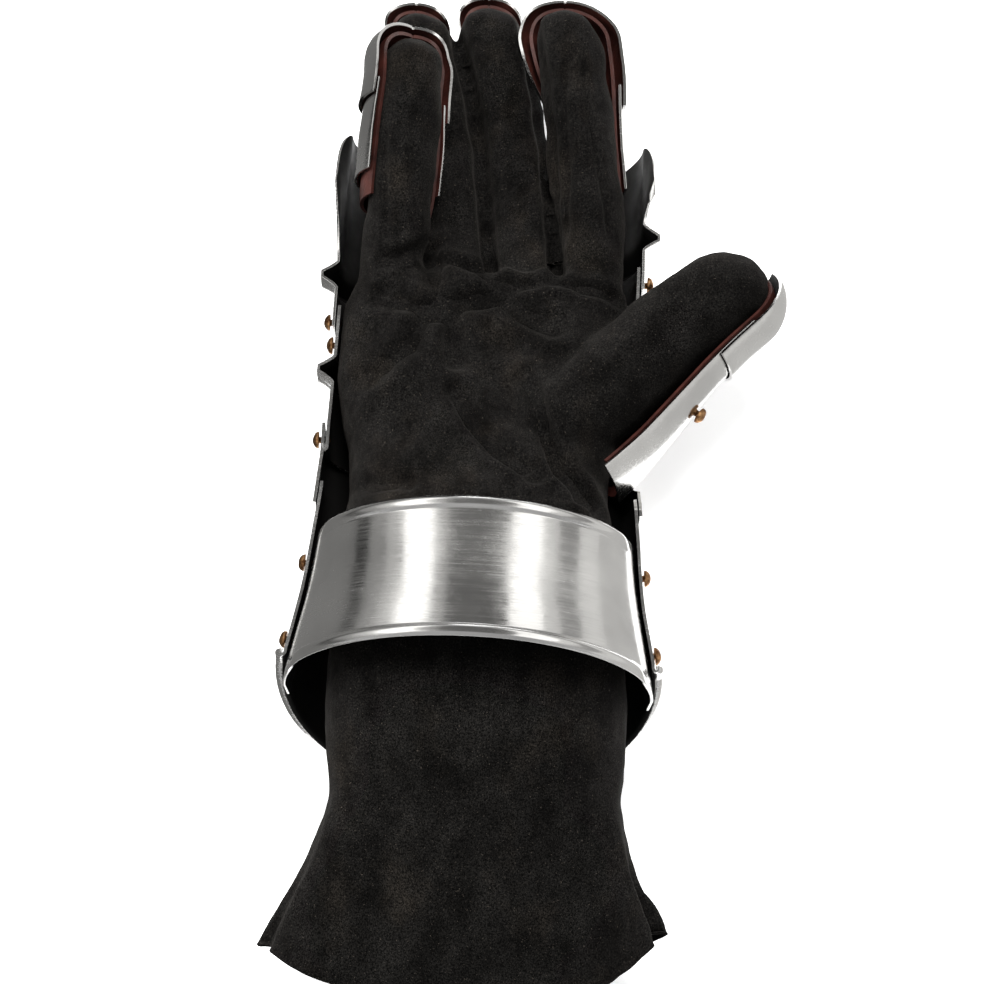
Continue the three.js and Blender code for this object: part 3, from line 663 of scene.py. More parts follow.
def bead_bump(share):
    return math.sin(math.pi * share) ** 0.85


def band_rows():
    """Where each row lies along the arm, and how much of the bead's height it has."""
    start = BAND_TOP_Y - BAND_LENGTH
    rows = []
    for share in steps(0, 1, BEAD_STEPS):
        rows.append((start + share * BEAD_WIDE, bead_bump(share)))
    for y in steps(start + BEAD_WIDE + 1, BAND_TOP_Y - BEAD_WIDE - 1, BAND_STEPS):
        rows.append((y, 0))
    for share in steps(0, 1, BEAD_STEPS):
        rows.append((BAND_TOP_Y - BEAD_WIDE + share * BEAD_WIDE, bead_bump(share)))
    return rows


print("rows of the band:", len(band_rows()))

# %% The band and its two beads
def band_grid():
    grid = []
    for y, bead in band_rows():
        half = shell(y, "half") * HALF_HAND - BAND_GAP - STEEL
        high = BAND_HIGH * half / HALF_HAND - STEEL
        line = []
        for degrees in steps(-90, 90, BAND_COLUMNS):
            turn = math.radians(degrees)
            # beads and waves stop where the ends go inside the cuff
            free = ease(math.cos(turn), 0.25, 0.5)
            bump = bead * BEAD_HIGH * free + hammered(degrees / 2, y, 21.4, 26, 0.24) * free
            across, up = (half + bump) * math.sin(turn), (high + bump) * math.cos(turn)
            line.append(Vector((across, y, up)))
        deep = shell(y, "deep") * BACK_DEPTH - BAND_GAP - STEEL
        place = 1 + math.acos(BAND_TUCK / deep) / (math.pi / 2)
        left = shell_point(y, -place, -BAND_GAP - STEEL)
        right = shell_point(y, place, -BAND_GAP - STEEL)
        head = [left.lerp(line[0], share) for share in steps(0, 1, 4)[:-1]]
        tail = [line[-1].lerp(right, share) for share in steps(0, 1, 4)[1:]]
        grid.append(head + line + tail)
    return grid


band = sheet_object("Wrist_band", band_grid())
thicken(band, STEEL, 0.25, -1)
finish_steel(band, "wrist_band", BAND_STEEL, hand_heart)

# %% [markdown]
# ## The glove: palm, fingers and thumb
# The glove is sewn from soft suede and a little stuffed, so its fingers are round
# and its palm swells below the thumb. Each part alone is a simple tube: a section
# table for the palm, and a curved centre line for each finger. Joined as they are,
# the tubes would meet in hard lines. A voxel remesh melts them into one skin, as
# clay is smoothed over a joint, and the creases are pressed in afterwards, because
# the remesh would wipe them out.

# %% Oval sections along a centre line
import numpy as np

SUEDE = 2
HALF_GLOVE = 54.5
PALM_THICK = 20
WRIST_SEAM_Y = 16
ROOT_Y = 110
REACH = 240
FINGER_PITCH = 0.495
STALL_SLACK = 0.89
STALL_RADIUS = FINGER_PITCH * HALF_GLOVE / 2 - STALL_SLACK
ARM_REACH = 192
PALM_START_Y = -34
MOUTH_Y = -30
PALM_SIDES = 96
TUBE_SIDES = 48


def oval(section, turn, shrink=0.0):
    """A point of a squared oval; turn counts whole turns from the thumb's side."""
    angle = turn * 2 * math.pi
    c, s = math.cos(angle), math.sin(angle)
    half = section["half"] - shrink
    tall = section["up" if s > 0 else "down"] - shrink
    return Vector((
        section["x"] + half * math.copysign(abs(c) ** section["square"], c),
        section["y"],
        section["z"] + tall * math.copysign(abs(s) ** section["square"], s),
    ))


def capped_tube(rings):
    """Points and faces of a tube with a point at each end."""
    count = len(rings[0])
    points = [point for ring in rings for point in ring]
    faces = grid_faces(len(rings), count, ring=True)
    last = (len(rings) - 1) * count
    for ring, start, turned in ((rings[0], 0, True), (rings[-1], last, False)):
        pole = len(points)
        points.append(sum(ring, Vector()) / count)
        for k in range(count):
            pair = (start + k, start + (k + 1) % count)
            faces.append((*(reversed(pair) if turned else pair), pole))
    return points, faces


print("a finger's stall is", round(2 * STALL_RADIUS), "mm thick")

# %% Sections of the palm and the arm
# where a section lies from seam to finger roots, and its sizes, all as shares
PALM = table(("at", "half", "up", "down"), (
    (0, 0.92, 1.65, 1.3),
    (0.18, 0.93, 1.38, 1.22),
    (0.4, 1.02, 1.15, 1.28),
    (0.62, 1.062, 1.02, 1.2),
    (0.82, 1.057, 0.88, 1.05),
    (1, 0.99, 0.82, 0.92),
))
# the same from the seam down to the hem, with how far it leans out and sinks
ARM = table(("at", "half", "up", "down", "side", "sink"), (
    (0, 0.92, 1.65, 1.3, 0, 0),
    (0.09, 0.95, 1.95, 1.5, 0.01, 0),
    (0.22, 0.99, 2.02, 1.7, 0.03, 0),
    (0.4, 1.04, 1.86, 1.75, 0.06, 0.05),
    (0.54, 1.02, 1.6, 1.6, 0.08, 0.2),
    (0.62, 1, 1.5, 1.5, 0.09, 0.35),
    (0.74, 1.13, 1.28, 1.3, 0.08, 0.62),
    (0.87, 1.27, 1.05, 1.1, 0.06, 0.92),
    (1, 1.42, 0.85, 0.9, 0.05, 1.2),
))
# the palm's swellings and its hollow: across, along, width and height, as shares
MOUNDS = (
    (0.5, 0.42, 0.42, 0.22),
    (-0.55, 0.38, 0.4, 0.2),
    (-0.02, 0.62, 0.4, -0.34),
    (0.1, 0.93, 0.3, 0.1),
)
print("sections:", len(PALM), "for the palm,", len(ARM), "for the arm")

# %% The palm and what runs under the band
def arm_section(share):
    return {
        "x": curve_through(ARM, "side", share) * HALF_GLOVE,
        "y": WRIST_SEAM_Y - GAP - share * ARM_REACH,
        "z": -curve_through(ARM, "sink", share) * PALM_THICK,
        "half": curve_through(ARM, "half", share) * HALF_GLOVE,
        "up": curve_through(ARM, "up", share) * PALM_THICK,
        "down": curve_through(ARM, "down", share) * PALM_THICK,
        "square": 0.9,
    }


TUCKED_IN = 1.6


def palm_ring(y, shrink=0.0):
    """A ring of the palm, or below the seam one that tucks inside the arm part."""
    share = (y - WRIST_SEAM_Y) / (ROOT_Y - WRIST_SEAM_Y)
    if share < 0:
        section = arm_section((WRIST_SEAM_Y - y) / ARM_REACH)
        shrink += TUCKED_IN * ease(-y, 4, 12)
    else:
        section = {"x": 0, "y": y, "z": 0, "square": 0.82}
        for key, size in (("half", HALF_GLOVE), ("up", PALM_THICK), ("down", PALM_THICK)):
            section[key] = curve_through(PALM, key, min(share, 1)) * size
    section["y"] = y
    ring = []
    for k in range(PALM_SIDES):
        point = oval(section, k / PALM_SIDES, shrink)
        if point.z > 0 and share > -0.2:
            for across, along, wide, high in MOUNDS:
                a = (point.x / HALF_GLOVE - across) / wide
                b = (share - along) / wide
                point.z += math.exp(-a * a - b * b) * high * PALM_THICK * point.z / section["up"]
        ring.append(point)
    return ring


def palm_tube(shrink=0.0):
    """Three smaller rings round off the palm where the fingers leave it."""
    rings = [palm_ring(y, shrink) for y in steps(PALM_START_Y, ROOT_Y - 1, 72)]
    for share in (0.35, 0.7, 0.92):
        rings.append([
            Vector((p.x * (1 - 0.1 * share), ROOT_Y + 5 * share, p.z * (1 - 0.45 * share)))
            for p in palm_ring(ROOT_Y - 1, shrink)
        ])
    return capped_tube(rings)


widest = max(section["half"] for section in PALM)
print("the palm is", round(2 * widest * HALF_GLOVE), "mm wide")

# %% Four fingers
# the first line of each: where the finger goes and how thick it is, as shares
# the second line: its plates' edges in degrees, and how far they stand off the sides
FINGERS = table(("name", "root", "mid", "tip", "mid_rise", "tip_rise", "length", "size",
                 "tip_size", "left", "right", "tip_left", "tip_right", "flare", "tip_flare"), (
    ("little", -1.5 * FINGER_PITCH, -0.66, -0.66, 0.44, 0.55, 0.868, 1, 1.07,
     136, 52, 134, 60, 0.22, 0.08),
    ("ring", -0.5 * FINGER_PITCH, -0.365, -0.68, -0.13, -0.088, 1.008, 0.95, 1.06,
     50, 38, 55, 40, 0.02, 0.04),
    ("middle", 0.5 * FINGER_PITCH, 0.1, -0.13, -0.13, -0.106, 1.028, 0.95, 1.06,
     38, 44, 42, 44, 0.02, 0.04),
    ("index", 1.5 * FINGER_PITCH, 0.625, 0.45, 0.15, 0.26, 0.975, 1, 1.04,
     34, 92, 74, 92, 0.08, 0.22),
))


def finger_line(row):
    return {
        "x": [row[key] * HALF_GLOVE for key in ("root", "mid", "tip")],
        "z": [0, row["mid_rise"] * HALF_GLOVE, row["tip_rise"] * HALF_GLOVE],
        "root_y": ROOT_Y + GAP,
        "tip_y": row["length"] * REACH,
        "radius": STALL_RADIUS * row["size"],
        "tip_radius": STALL_RADIUS * row["tip_size"],
        "flare": row["flare"],
        "tip_flare": row["tip_flare"],
    }


print("fingers:", ", ".join(row["name"] for row in FINGERS))

# %% The thumb's line and its frame
THUMB = {
    "x": [0, 0, 0], "z": [0, 0, 0], "root_y": 0, "tip_y": 101,
    "radius": 17, "tip_radius": 14.5, "flare": 0, "tip_flare": 0,
}
# the thumb's root on the palm, how far it leans out, and how far forwards
THUMB_FRAME = (
    Matrix.Translation((0.66 * HALF_GLOVE, 43, 3))
    @ Matrix.Rotation(math.radians(-46), 4, "Z")
    @ Matrix.Rotation(math.radians(7), 4, "X")
)
print("the thumb is", THUMB["tip_y"], "mm long")

# %% Sections of a finger
def finger_section(line, share, off=0.0):
    """The section at a share of the length; off is the distance out of the skin."""
    length = line["tip_y"] - line["root_y"] + off
    y = line["root_y"] + share * length
    t = clamp((y - line["root_y"]) / (line["tip_y"] - line["root_y"]))
    radius = mix(line["radius"], line["tip_radius"], t) + off
    past = y - (line["root_y"] + length - radius)
    round_end = math.sqrt(max(1 - (past / radius) ** 2, 0)) if past > 0 else 1
    root = max(1 - 5 * t, 0)

    def bend(a, b, c):
        return a * (1 - t) * (1 - 2 * t) + b * 4 * t * (1 - t) + c * t * (2 * t - 1)

    return {
        "x": bend(*line["x"]), "y": y, "z": bend(*line["z"]),
        "half": radius * round_end,
        "up": radius * round_end * (1 + 0.2 * root),
        "down": radius * round_end * (1 + 0.15 * root),
        "square": 1 - 0.15 * root,
    }


ROUND_TURNS = steps(0, 88, 12)[1:]


def rounded_shares(line, start, end, off, straight):
    """Shares along a finger that crowd together at its rounded end."""
    dome = 1 - (line["tip_radius"] + off) / (line["tip_y"] - line["root_y"] + off)
    shares = steps(start, min(dome, end), straight)
    if end > dome:
        for turn in ROUND_TURNS:
            shares.append(dome + (1 - dome) * math.sin(math.radians(turn)))
    return shares


print("sections in a rounded tip:", len(ROUND_TURNS))

# %% A tube of suede for each finger
def tube_ring(section, shrink=0.0):
    return [oval(section, k / TUBE_SIDES, shrink) for k in range(TUBE_SIDES)]


def finger_tube(line, off=0.0, full=0.0):
    """full widens a finger of suede where its neighbours press against it."""
    rings = []
    first = finger_section(line, 0, off)
    # two smaller rings reach back into the palm
    for back in (9, 4.5):
        rings.append(tube_ring(dict(first, y=line["root_y"] - back), 0.12 * back))
    for share in rounded_shares(line, 0, 1, off, 46):
        section = finger_section(line, share, off)
        section["half"] += full * ease(share, 0, 0.25) * (1 - ease(share, 0.84, 0.98))
        rings.append(tube_ring(section))
    return capped_tube(rings)


# millimetres that the suede of each finger swells to either side
FULLNESS = {"little": 0.3, "ring": 2.2, "middle": 3.0, "index": 1.8}
TIP_SHORT = 3
TIP_THIN = 1


def slack_tip(line):
    """The suede stops short of its leather, so the leather shows round the fingertip."""
    tip_y, tip_radius = line["tip_y"] - TIP_SHORT, line["tip_radius"] - TIP_THIN
    return dict(line, tip_y=tip_y, tip_radius=tip_radius)


print("points in each ring of a finger:", TUBE_SIDES)

# %% The thumb's suede
# The thumb's suede is fuller than its steel, and its root swells over the palm.
THUMB_SKIN = table(("at", "x", "half", "up", "down"), (
    (-36, -4, 9, 8, 8),
    (-30, -5, 17, 18, 14),
    (-16, -5, 20.5, 26, 17),
    (2, -6.5, 20, 26, 17),
    (30, -7.8, 18.7, 22, 16.5),
    (60, -8.6, 17.6, 19, 16),
    (80, -8, 17.4, 17.5, 15),
    (91, -6.6, 15.4, 15, 13.5),
    (98, -5, 11, 10.5, 10),
    (102, -4.4, 5, 5, 5),
))


def thumb_skin(shrink=0.0):
    rings = []
    for y in steps(THUMB_SKIN[0]["at"], THUMB_SKIN[-1]["at"] - shrink, 92):
        section = {"y": y, "z": 0, "square": 0.95}
        for key in ("x", "half", "up", "down"):
            section[key] = curve_through(THUMB_SKIN, key, y)
        rings.append([THUMB_FRAME @ point for point in tube_ring(section, shrink)])
    return capped_tube(rings)


print("sections of the thumb:", len(THUMB_SKIN))

# %% [markdown]
# ## One skin
# All six tubes go into one mesh and are remeshed at 1.3 mm. A few passes of
# smoothing then round the webs between the fingers. The bottom is cut off flat
# where the arm part hides it, so the glove is open for the hand. The same tubes,
# two millimetres smaller, give the lining that is seen through the mouth.

# %% Melt the tubes together
def melted(name, off, voxel, smooth):
    points, faces = palm_tube(-off)
    parts = [(points, faces)]
    for row in FINGERS:
        line = slack_tip(finger_line(row))
        parts.append(finger_tube(line, off, full=FULLNESS[row["name"]] if not off else 0))
    parts.append(thumb_skin(-off))
    points, faces = [], []
    for part_points, part_faces in parts:
        faces += [tuple(k + len(points) for k in face) for face in part_faces]
        points += part_points
    obj = mesh_object(name, points, faces)
    remesh = obj.modifiers.new("Melt", "REMESH")
    remesh.mode = "VOXEL"
    remesh.voxel_size = voxel * MM
    soften = obj.modifiers.new("Soften", "SMOOTH")
    soften.factor = 0.5
    soften.iterations = smooth
    apply_modifiers(obj)
    mesh = bmesh.new()
    mesh.from_mesh(obj.data)
    bmesh.ops.bisect_plane(
        mesh, geom=mesh.verts[:] + mesh.edges[:] + mesh.faces[:],
        plane_co=LAY_DOWN @ Vector((0, MOUTH_Y, 0)),
        plane_no=LAY_DOWN.to_3x3() @ Vector((0, 1, 0)),
        clear_inner=True,
    )
    mesh.to_mesh(obj.data)
    mesh.free()
    obj.data.shade_smooth()
    print(name, "faces:", len(obj.data.polygons))
    return obj


hand = melted("Glove_hand", 0.0, 1.28, 4)
lining = melted("Glove_lining", -SUEDE, 2.4, 3)
lining.data.flip_normals()

# %% [markdown]
# ## Creases, seams and give
# Worn suede folds where the fingers bend and where the pieces are sewn. Each crease
# is a short line of points in the palm's plane, pressed into every part of the skin
# that lies near it and faces the palm. Sculpting by hand would look as good, but a
# list of lines can be read, moved and repeated. Broad, low noise then takes the
# machine-made evenness away.

# %% The skin's points as numbers
def hand_points(obj):
    """Points and outward directions of a mesh, in the hand's frame."""
    mesh = obj.data
    count = len(mesh.vertices)
    points = np.empty(count * 3)
    mesh.vertices.foreach_get("co", points)
    normals = np.empty(count * 3)
    mesh.vertex_normals.foreach_get("vector", normals)
    to_hand = np.array(STAND_UP)
    points = points.reshape(-1, 3) @ to_hand[:3, :3].T + to_hand[:3, 3]
    normals = normals.reshape(-1, 3) @ np.array(TURN_UP).T
    return points, normals


def put_back(obj, points):
    to_world = np.array(LAY_DOWN)
    world_points = points @ to_world[:3, :3].T + to_world[:3, 3]
    obj.data.vertices.foreach_set("co", world_points.ravel())
    obj.data.update()


print("the skin has", len(hand.data.vertices), "points")

# %% Press lines into the skin
def distance_to_line(points, line):
    """Distance of each point from a line of corners, seen from above the palm."""
    flat = points[:, :2]
    nearest = np.full(len(flat), 1e9)
    for a, b in zip(line[:-1], line[1:]):
        a, b = np.array(a, float), np.array(b, float)
        along = np.clip(((flat - a) @ (b - a)) / max((b - a) @ (b - a), 1e-9), 0, 1)
        gap = np.linalg.norm(flat - a - along[:, None] * (b - a), axis=1)
        nearest = np.minimum(nearest, gap)
    return nearest


FADE_RUN = 6.0
CREASE_LIP = 0.3


def fade_ends(points, line):
    """1 along the middle of a line and 0 at its two ends."""
    first = np.linalg.norm(points[:, :2] - np.array(line[0], float), axis=1)
    last = np.linalg.norm(points[:, :2] - np.array(line[-1], float), axis=1)
    return np.clip(np.minimum(first, last) / FADE_RUN, 0, 1)


def press(points, normals, line, wide, deep):
    """A groove with a slight lip on both sides."""
    far = distance_to_line(points, line) / wide
    groove = np.exp(-far * far) - CREASE_LIP * np.exp(-(far - 1.9) ** 2)
    facing = np.clip(normals[:, 2] * 1.6, 0, 1)
    shift = -deep * groove * facing * fade_ends(points, line)
    return normals * shift[:, None]


def soft_noise(points, size, seed):
    return np.array([noise.noise(Vector(p) / size + Vector((seed, 0, 0))) for p in points])


print("a crease fades out over its last", FADE_RUN, "mm")

# %% The glove's own creases
# line of points across the hand, width and depth, all in millimetres
CREASES = (
    (((-44.2, 167.7), (-43.6, 150.2), (-42.3, 133.1), (-40.8, 120.3)), 1.3, 1.0),
    (((-33.1, 169.4), (-32.7, 153.4), (-31.4, 135.7), (-30.6, 119.1)), 1.3, 1.0),
    (((30.8, 210.8), (26, 201.2), (25.6, 183.8), (28, 168.5), (30, 127)), 1.5, 1.8),
    (((30.8, 210.8), (32.8, 203.2), (35.6, 183.6), (41, 159.6), (47.5, 127)), 1.5, 1.8),
    (((25.2, 107), (39.1, 105.3), (52, 103)), 2.4, 3.4),
    (((-41.6, 112.5), (-34, 116), (-24.1, 122.3)), 2.2, 3.0),
    (((-20.2, 116.3), (-8.2, 113.6), (0, 107.9), (12, 103.7), (23.7, 106.8)), 2.2, 3.2),
    (((-40, 97), (-22, 92), (-8, 97), (5, 101.2), (13.8, 92), (26, 86)), 4.2, 4.8),
    (((-24, 122), (-21, 104), (-14, 88), (-12, 70)), 4.0, 4.2),
    (((-44, 60), (-30, 74), (-22, 92)), 4.0, 3.2),
    (((-10.1, 54.6), (-3.2, 40.4), (7, 26.3), (20.8, 14.8)), 3.2, 5.0),
    (((8, 64), (12, 48), (20, 32)), 3.4, 2.0),
    (((16, 62), (19.1, 55), (24.5, 36.5), (30.9, 19.4), (45.8, 6.1)), 3.0, 5.6),
    (((-47.3, 16.4), (-39.1, 11.3), (-26, 9)), 2.6, 2.6),
    (((31.4, 7.2), (46.9, 8.5)), 2.6, 2.2),
    (((1, 108), (-3, 140), (-7.2, 175), (-14, 207), (-22, 240)), 3.0, 3.6),
    (((27, 108), (23.5, 140), (19.8, 175), (14.5, 207), (8, 240)), 3.0, 3.6),
)
# the skin's own unevenness: height and size in millimetres, and a seed
GIVE = ((1.3, 15, 1.7), (0.3, 5.2, 8.1))
points, normals = hand_points(hand)
shift = np.zeros_like(points)
for line, wide, deep in CREASES:
    shift += press(points, normals, line, wide, deep)
points += shift
for high, size, seed in GIVE:
    points += normals * (high * soft_noise(points, size, seed))[:, None]
put_back(hand, points)
print("creases:", len(CREASES))

# %% [markdown]
# ## The arm of the glove
# The arm part flares below the steel and ends in a turned hem. Here nothing has to
# be melted together, so the tube keeps its neat rows, and the rows give the folds:
# a deep one where the side seam runs, and shallow ones that the flare drags open.
# Its inner face is a second run of the same rows, two millimetres in, and the hem
# joins the two with a round lip.

# %% The arm's folds and its hem
# turn round the section, width in turns, depth as a share of the thickness, start
ARM_FOLDS = (
    (0.03, 0.035, 0.35, 0.6),
    (0.2, 0.05, 0.14, 0.45),
    (0.33, 0.05, 0.16, 0.5),
    (0.47, 0.04, 0.2, 0.55),
)
ARM_TOP = 0.1
HEM_AT = 0.995
HEM_LIP = 1.1
HEM_ROUND = 0.16
LEFT_HANG = 0.62
BACK_SHORT = 14
FRONT_HANG = 3
ARM_SIDES = 224


def fold_depth(turn, share):
    sunk = 0.0
    for middle_turn, wide, deep, start in ARM_FOLDS:
        away = abs(turn - middle_turn)
        away = min(away, 1 - away) / wide
        if away < 1:
            sunk += deep * (1 + math.cos(away * math.pi)) / 2 * ease(share, start, 1)
    return sunk * PALM_THICK


print("folds down the arm:", len(ARM_FOLDS))

# %% Rings of the arm
def arm_ring(share, shrink):
    """The hem hangs lower at the front than at the sides and the back."""
    section = arm_section(share)
    ring = []
    for k in range(ARM_SIDES):
        turn = k / ARM_SIDES
        point = oval(section, turn, shrink + fold_depth(turn, share))
        side = abs(math.cos(turn * 2 * math.pi)) ** 3
        side *= 1 if point.x > 0 else LEFT_HANG
        front = math.sin(turn * 2 * math.pi)
        hang = BACK_SHORT * ease(-front, 0, 0.9) - FRONT_HANG * max(front, 0)
        point.y += (side * HEM_ROUND * ARM_REACH + hang) * ease(share, 0.7, 1)
        ring.append(point)
    return ring


def arm_points():
    """Down the outside, round the hem and back up the inside."""
    rings = [arm_ring(share, 0) for share in steps(ARM_TOP, HEM_AT, 150)]
    for degrees in steps(0, 180, 8):
        turn = math.radians(degrees)
        reach_out = HEM_LIP * math.sin(turn)
        rings.append([
            point + Vector((0, -reach_out, 0))
            for point in arm_ring(HEM_AT, SUEDE * (1 - math.cos(turn)) / 2)
        ])
    rings += [arm_ring(share, SUEDE) for share in steps(HEM_AT, ARM_TOP, 60)]
    return rings


rings = arm_points()
arm = mesh_object(
    "Glove_arm",
    [point for ring in rings for point in ring],
    grid_faces(len(rings), ARM_SIDES, ring=True),
)
print("arm rings:", len(rings), "faces:", len(arm.data.polygons))

# %% The arm gives a little
LOOSE_FROM_Y = -40
LOOSE_RUN = 60
BROAD_HIGH, BROAD_SIZE = 1.6, 24
SMALL_HIGH, SMALL_SIZE = 0.35, 6
DRAWN_OUT = np.array((1, 0.45, 1))  # broad waves run down the arm

points, normals = hand_points(arm)
low = np.clip((LOOSE_FROM_Y - points[:, 1]) / LOOSE_RUN, 0, 1)
broad = soft_noise(points * DRAWN_OUT, BROAD_SIZE, 3.3)
small = soft_noise(points, SMALL_SIZE, 5.9)
points += normals * ((BROAD_HIGH * broad * low) + SMALL_HIGH * small)[:, None]
put_back(arm, points)
print("the arm's surface moves by about a millimetre")

# %% [markdown]
# ## The finish of suede
# Suede is leather with its fibres brushed up. It has no shine, it is darkest where
# you look straight down into the fibres, and it has a pale bloom at its edges,
# where you see the fibres from the side. The sheen of the shader gives that bloom.
# Fine noise gives the fibres and larger noise the patches where the nap lies
# differently or is worn brown by rubbing. A third noise darkens and lightens the nap
# in broad patches, partly its own unevenness and partly painted shade and light.
# Here and there a stray fibre is painted pale, a painted highlight where it catches the light.

# %% Suede
DARK_DEEP, DARK_TIPS = (0.0008, 0.0008, 0.0008), (0.0185, 0.0174, 0.016)
BROWN_DEEP, BROWN_TIPS = (0.0018, 0.0015, 0.0012), (0.029, 0.024, 0.0188)
# pale colour painted on as highlights where stray fibres catch the light
FIBRE_GLINT_PAINT = (0.06, 0.051, 0.042)


def dark_suede():
    material, tree, shader = new_material("Dark suede", (0.009, 0.008, 0.0075), 0.95)
    shader.inputs["Specular IOR Level"].default_value = 0.06
    shader.inputs["Sheen Weight"].default_value = 0.03
    shader.inputs["Sheen Roughness"].default_value = 0.5
    shader.inputs["Sheen Tint"].default_value = (0.72, 0.66, 0.6, 1)
    fibres = stretched_noise(tree, (1900, 1500, 1900), 4, 0.75)
    patches = stretched_noise(tree, (34, 26, 34), 4, 0.6)
    nap_and_shade_noise = stretched_noise(tree, (75, 55, 75), 5, 0.65)
    glint_spots = stretched_noise(tree, (1500, 1500, 1500), 2, 0.5)
    dark = ramp(tree, fibres, ((0.42, DARK_DEEP), (0.68, DARK_TIPS)))
    brown = ramp(tree, fibres, ((0.42, BROWN_DEEP), (0.68, BROWN_TIPS)))
    # broad darker and lighter patches: partly the nap's own unevenness, partly painted shade and
    # light
    nap_and_painted_shade = ramp(tree, nap_and_shade_noise, ((0.36, (0.3, 0.3, 0.3)), (0.66, (1.0, 1.0, 1.0))))
    worn = blended(tree, "MIX", remap(tree, patches, 0.52, 0.72, 0, 0.8), dark, brown)
    nap = blended(tree, "MULTIPLY", 1, worn, nap_and_painted_shade)
    # pale specks: painted highlights where stray fibres catch the light
    painted_glints = remap(tree, glint_spots, 0.66, 0.78, 0, 0.7)
    color = blended(tree, "MIX", painted_glints, nap, (*FIBRE_GLINT_PAINT, 1))
    tree.links.new(color, shader.inputs["Base Color"])
    raise_bump(tree, shader, fibres, 0.4, 0.45)
    return material


DARK_SUEDE = dark_suede()
for piece in (hand, lining, arm):
    piece.data.materials.append(DARK_SUEDE)
    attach(piece, "root")
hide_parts("glove_arm")
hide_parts("glove_hand", "thumb_stall", *[row["name"] + "_stall" for row in FINGERS])
print("suede on", hand.name, lining.name, "and", arm.name)

# %% [markdown]
# ## Leather strips and finger plates
# Each finger is guarded by two small plates riveted to a strip of leather, and the
# strip is what bends with the finger. The strip hugs the stall's back and sides,
# the second plate rides on it, and the tip plate laps over that one and closes
# round the fingertip. All are troughs round the same centre line as the stall, each
# on its own layer, so they follow the finger exactly. A bent plane would need its
# ends closed by hand, while a trough that follows the rounded sections closes
# itself.

# %% Troughs round a finger
LEATHER = 1.5
SOFT_GAP = 0.6
TROUGH_COLUMNS = 44
DENT_SIZE, DENT_DEEP = 11, 0.14


def trough(line, shares, off, wrap, seed, frame=None):
    """off gives the distance from the stall, wrap the two edges in degrees."""
    grid = []
    for share in shares:
        section = finger_section(line, share, off(share))
        late = ease(share, 0.5, 0.8)
        flare = 1 + ease(share, 0.1, 0.35) * mix(line["flare"], line["tip_flare"], late)
        start, end = wrap(share)
        row = []
        for degrees in steps(start, end, TROUGH_COLUMNS):
            turn = math.radians(degrees)
            s, c = math.sin(turn), math.cos(turn)
            tall = section["down" if c > 0 else "up"]
            wave = hammered(degrees / 4, section["y"], seed, DENT_SIZE, DENT_DEEP)
            x = section["x"] + (section["half"] * flare + wave) * math.copysign(
                abs(s) ** section["square"], s)
            z = section["z"] - (tall + wave) * math.copysign(abs(c) ** section["square"], c)
            point = Vector((x, section["y"], z))
            row.append(frame @ point if frame else point)
        grid.append(row)
    return grid


HEART_END = 0.86


def finger_heart(line, frame=None):
    """The centre line of a finger, which its plates face away from."""
    def heart(spot):
        local = frame.inverted() @ spot if frame else spot
        along = (local.y - line["root_y"]) / (line["tip_y"] - line["root_y"])
        section = finger_section(line, clamp(along, 0, HEART_END))
        middle = Vector((section["x"], section["y"], section["z"]))
        return frame @ middle if frame else middle
    return heart


print("a finger's plates lie on leather", LEATHER, "mm thick")

# %% [markdown]
# ## The finish of the leather
# The strips are a red-brown leather, waxed until it shines softly. A coat over a
# rougher base gives that shine, and a pattern of small cells gives the grain.

# %% Red-brown leather
LEATHER_DARK, LEATHER_LIGHT = (0.016, 0.0055, 0.0045), (0.048, 0.014, 0.0105)


def waxed_leather():
    material, tree, shader = new_material("Waxed leather", (0.03, 0.009, 0.007), 0.42)
    shader.inputs["Coat Weight"].default_value = 0.35
    shader.inputs["Coat Roughness"].default_value = 0.25
    clouds = stretched_noise(tree, (130, 130, 130), 4)
    tone = ramp(tree, clouds, ((0.3, LEATHER_DARK), (0.7, LEATHER_LIGHT)))
    tree.links.new(tone, shader.inputs["Base Color"])
    place = tree.nodes.new("ShaderNodeTexCoord")
    grain = tree.nodes.new("ShaderNodeTexVoronoi")
    grain.inputs["Scale"].default_value = 1100
    tree.links.new(place.outputs["Object"], grain.inputs["Vector"])
    raise_bump(tree, shader, grain.outputs["Distance"], 0.18, 0.5)
    return material


WAXED = waxed_leather()


def finish_leather(obj, node):
    obj.data.materials.append(WAXED)
    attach(obj, "root")
    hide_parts(node)
    print(obj.name, "faces:", len(obj.data.polygons))


print("leather:", WAXED.name)

# %% Strips and plates of the four fingers
# kind of plate, start and end as shares of the finger, and layer
PLATE_SPANS = (("plate", 0.36, 0.72, 0), ("tip_plate", 0.64, 1.0, 1))
LEATHER_START = 0.28
TIP_EDGE = 88
ON_LEATHER = SOFT_GAP + LEATHER + 2 * GAP


def finger_wrap(row):
    """A finger's two edges. At the tip both come round to its sides at least."""
    def wrap(share):
        late = ease(share, 0.62, 0.9)
        left = mix(row["left"], row["tip_left"], late)
        right = mix(row["right"], row["tip_right"], late)
        round_tip = ease(share, 0.9, 0.995)
        left = mix(left, max(left, TIP_EDGE), round_tip)
        return -left, mix(right, max(right, TIP_EDGE), round_tip)
    return wrap


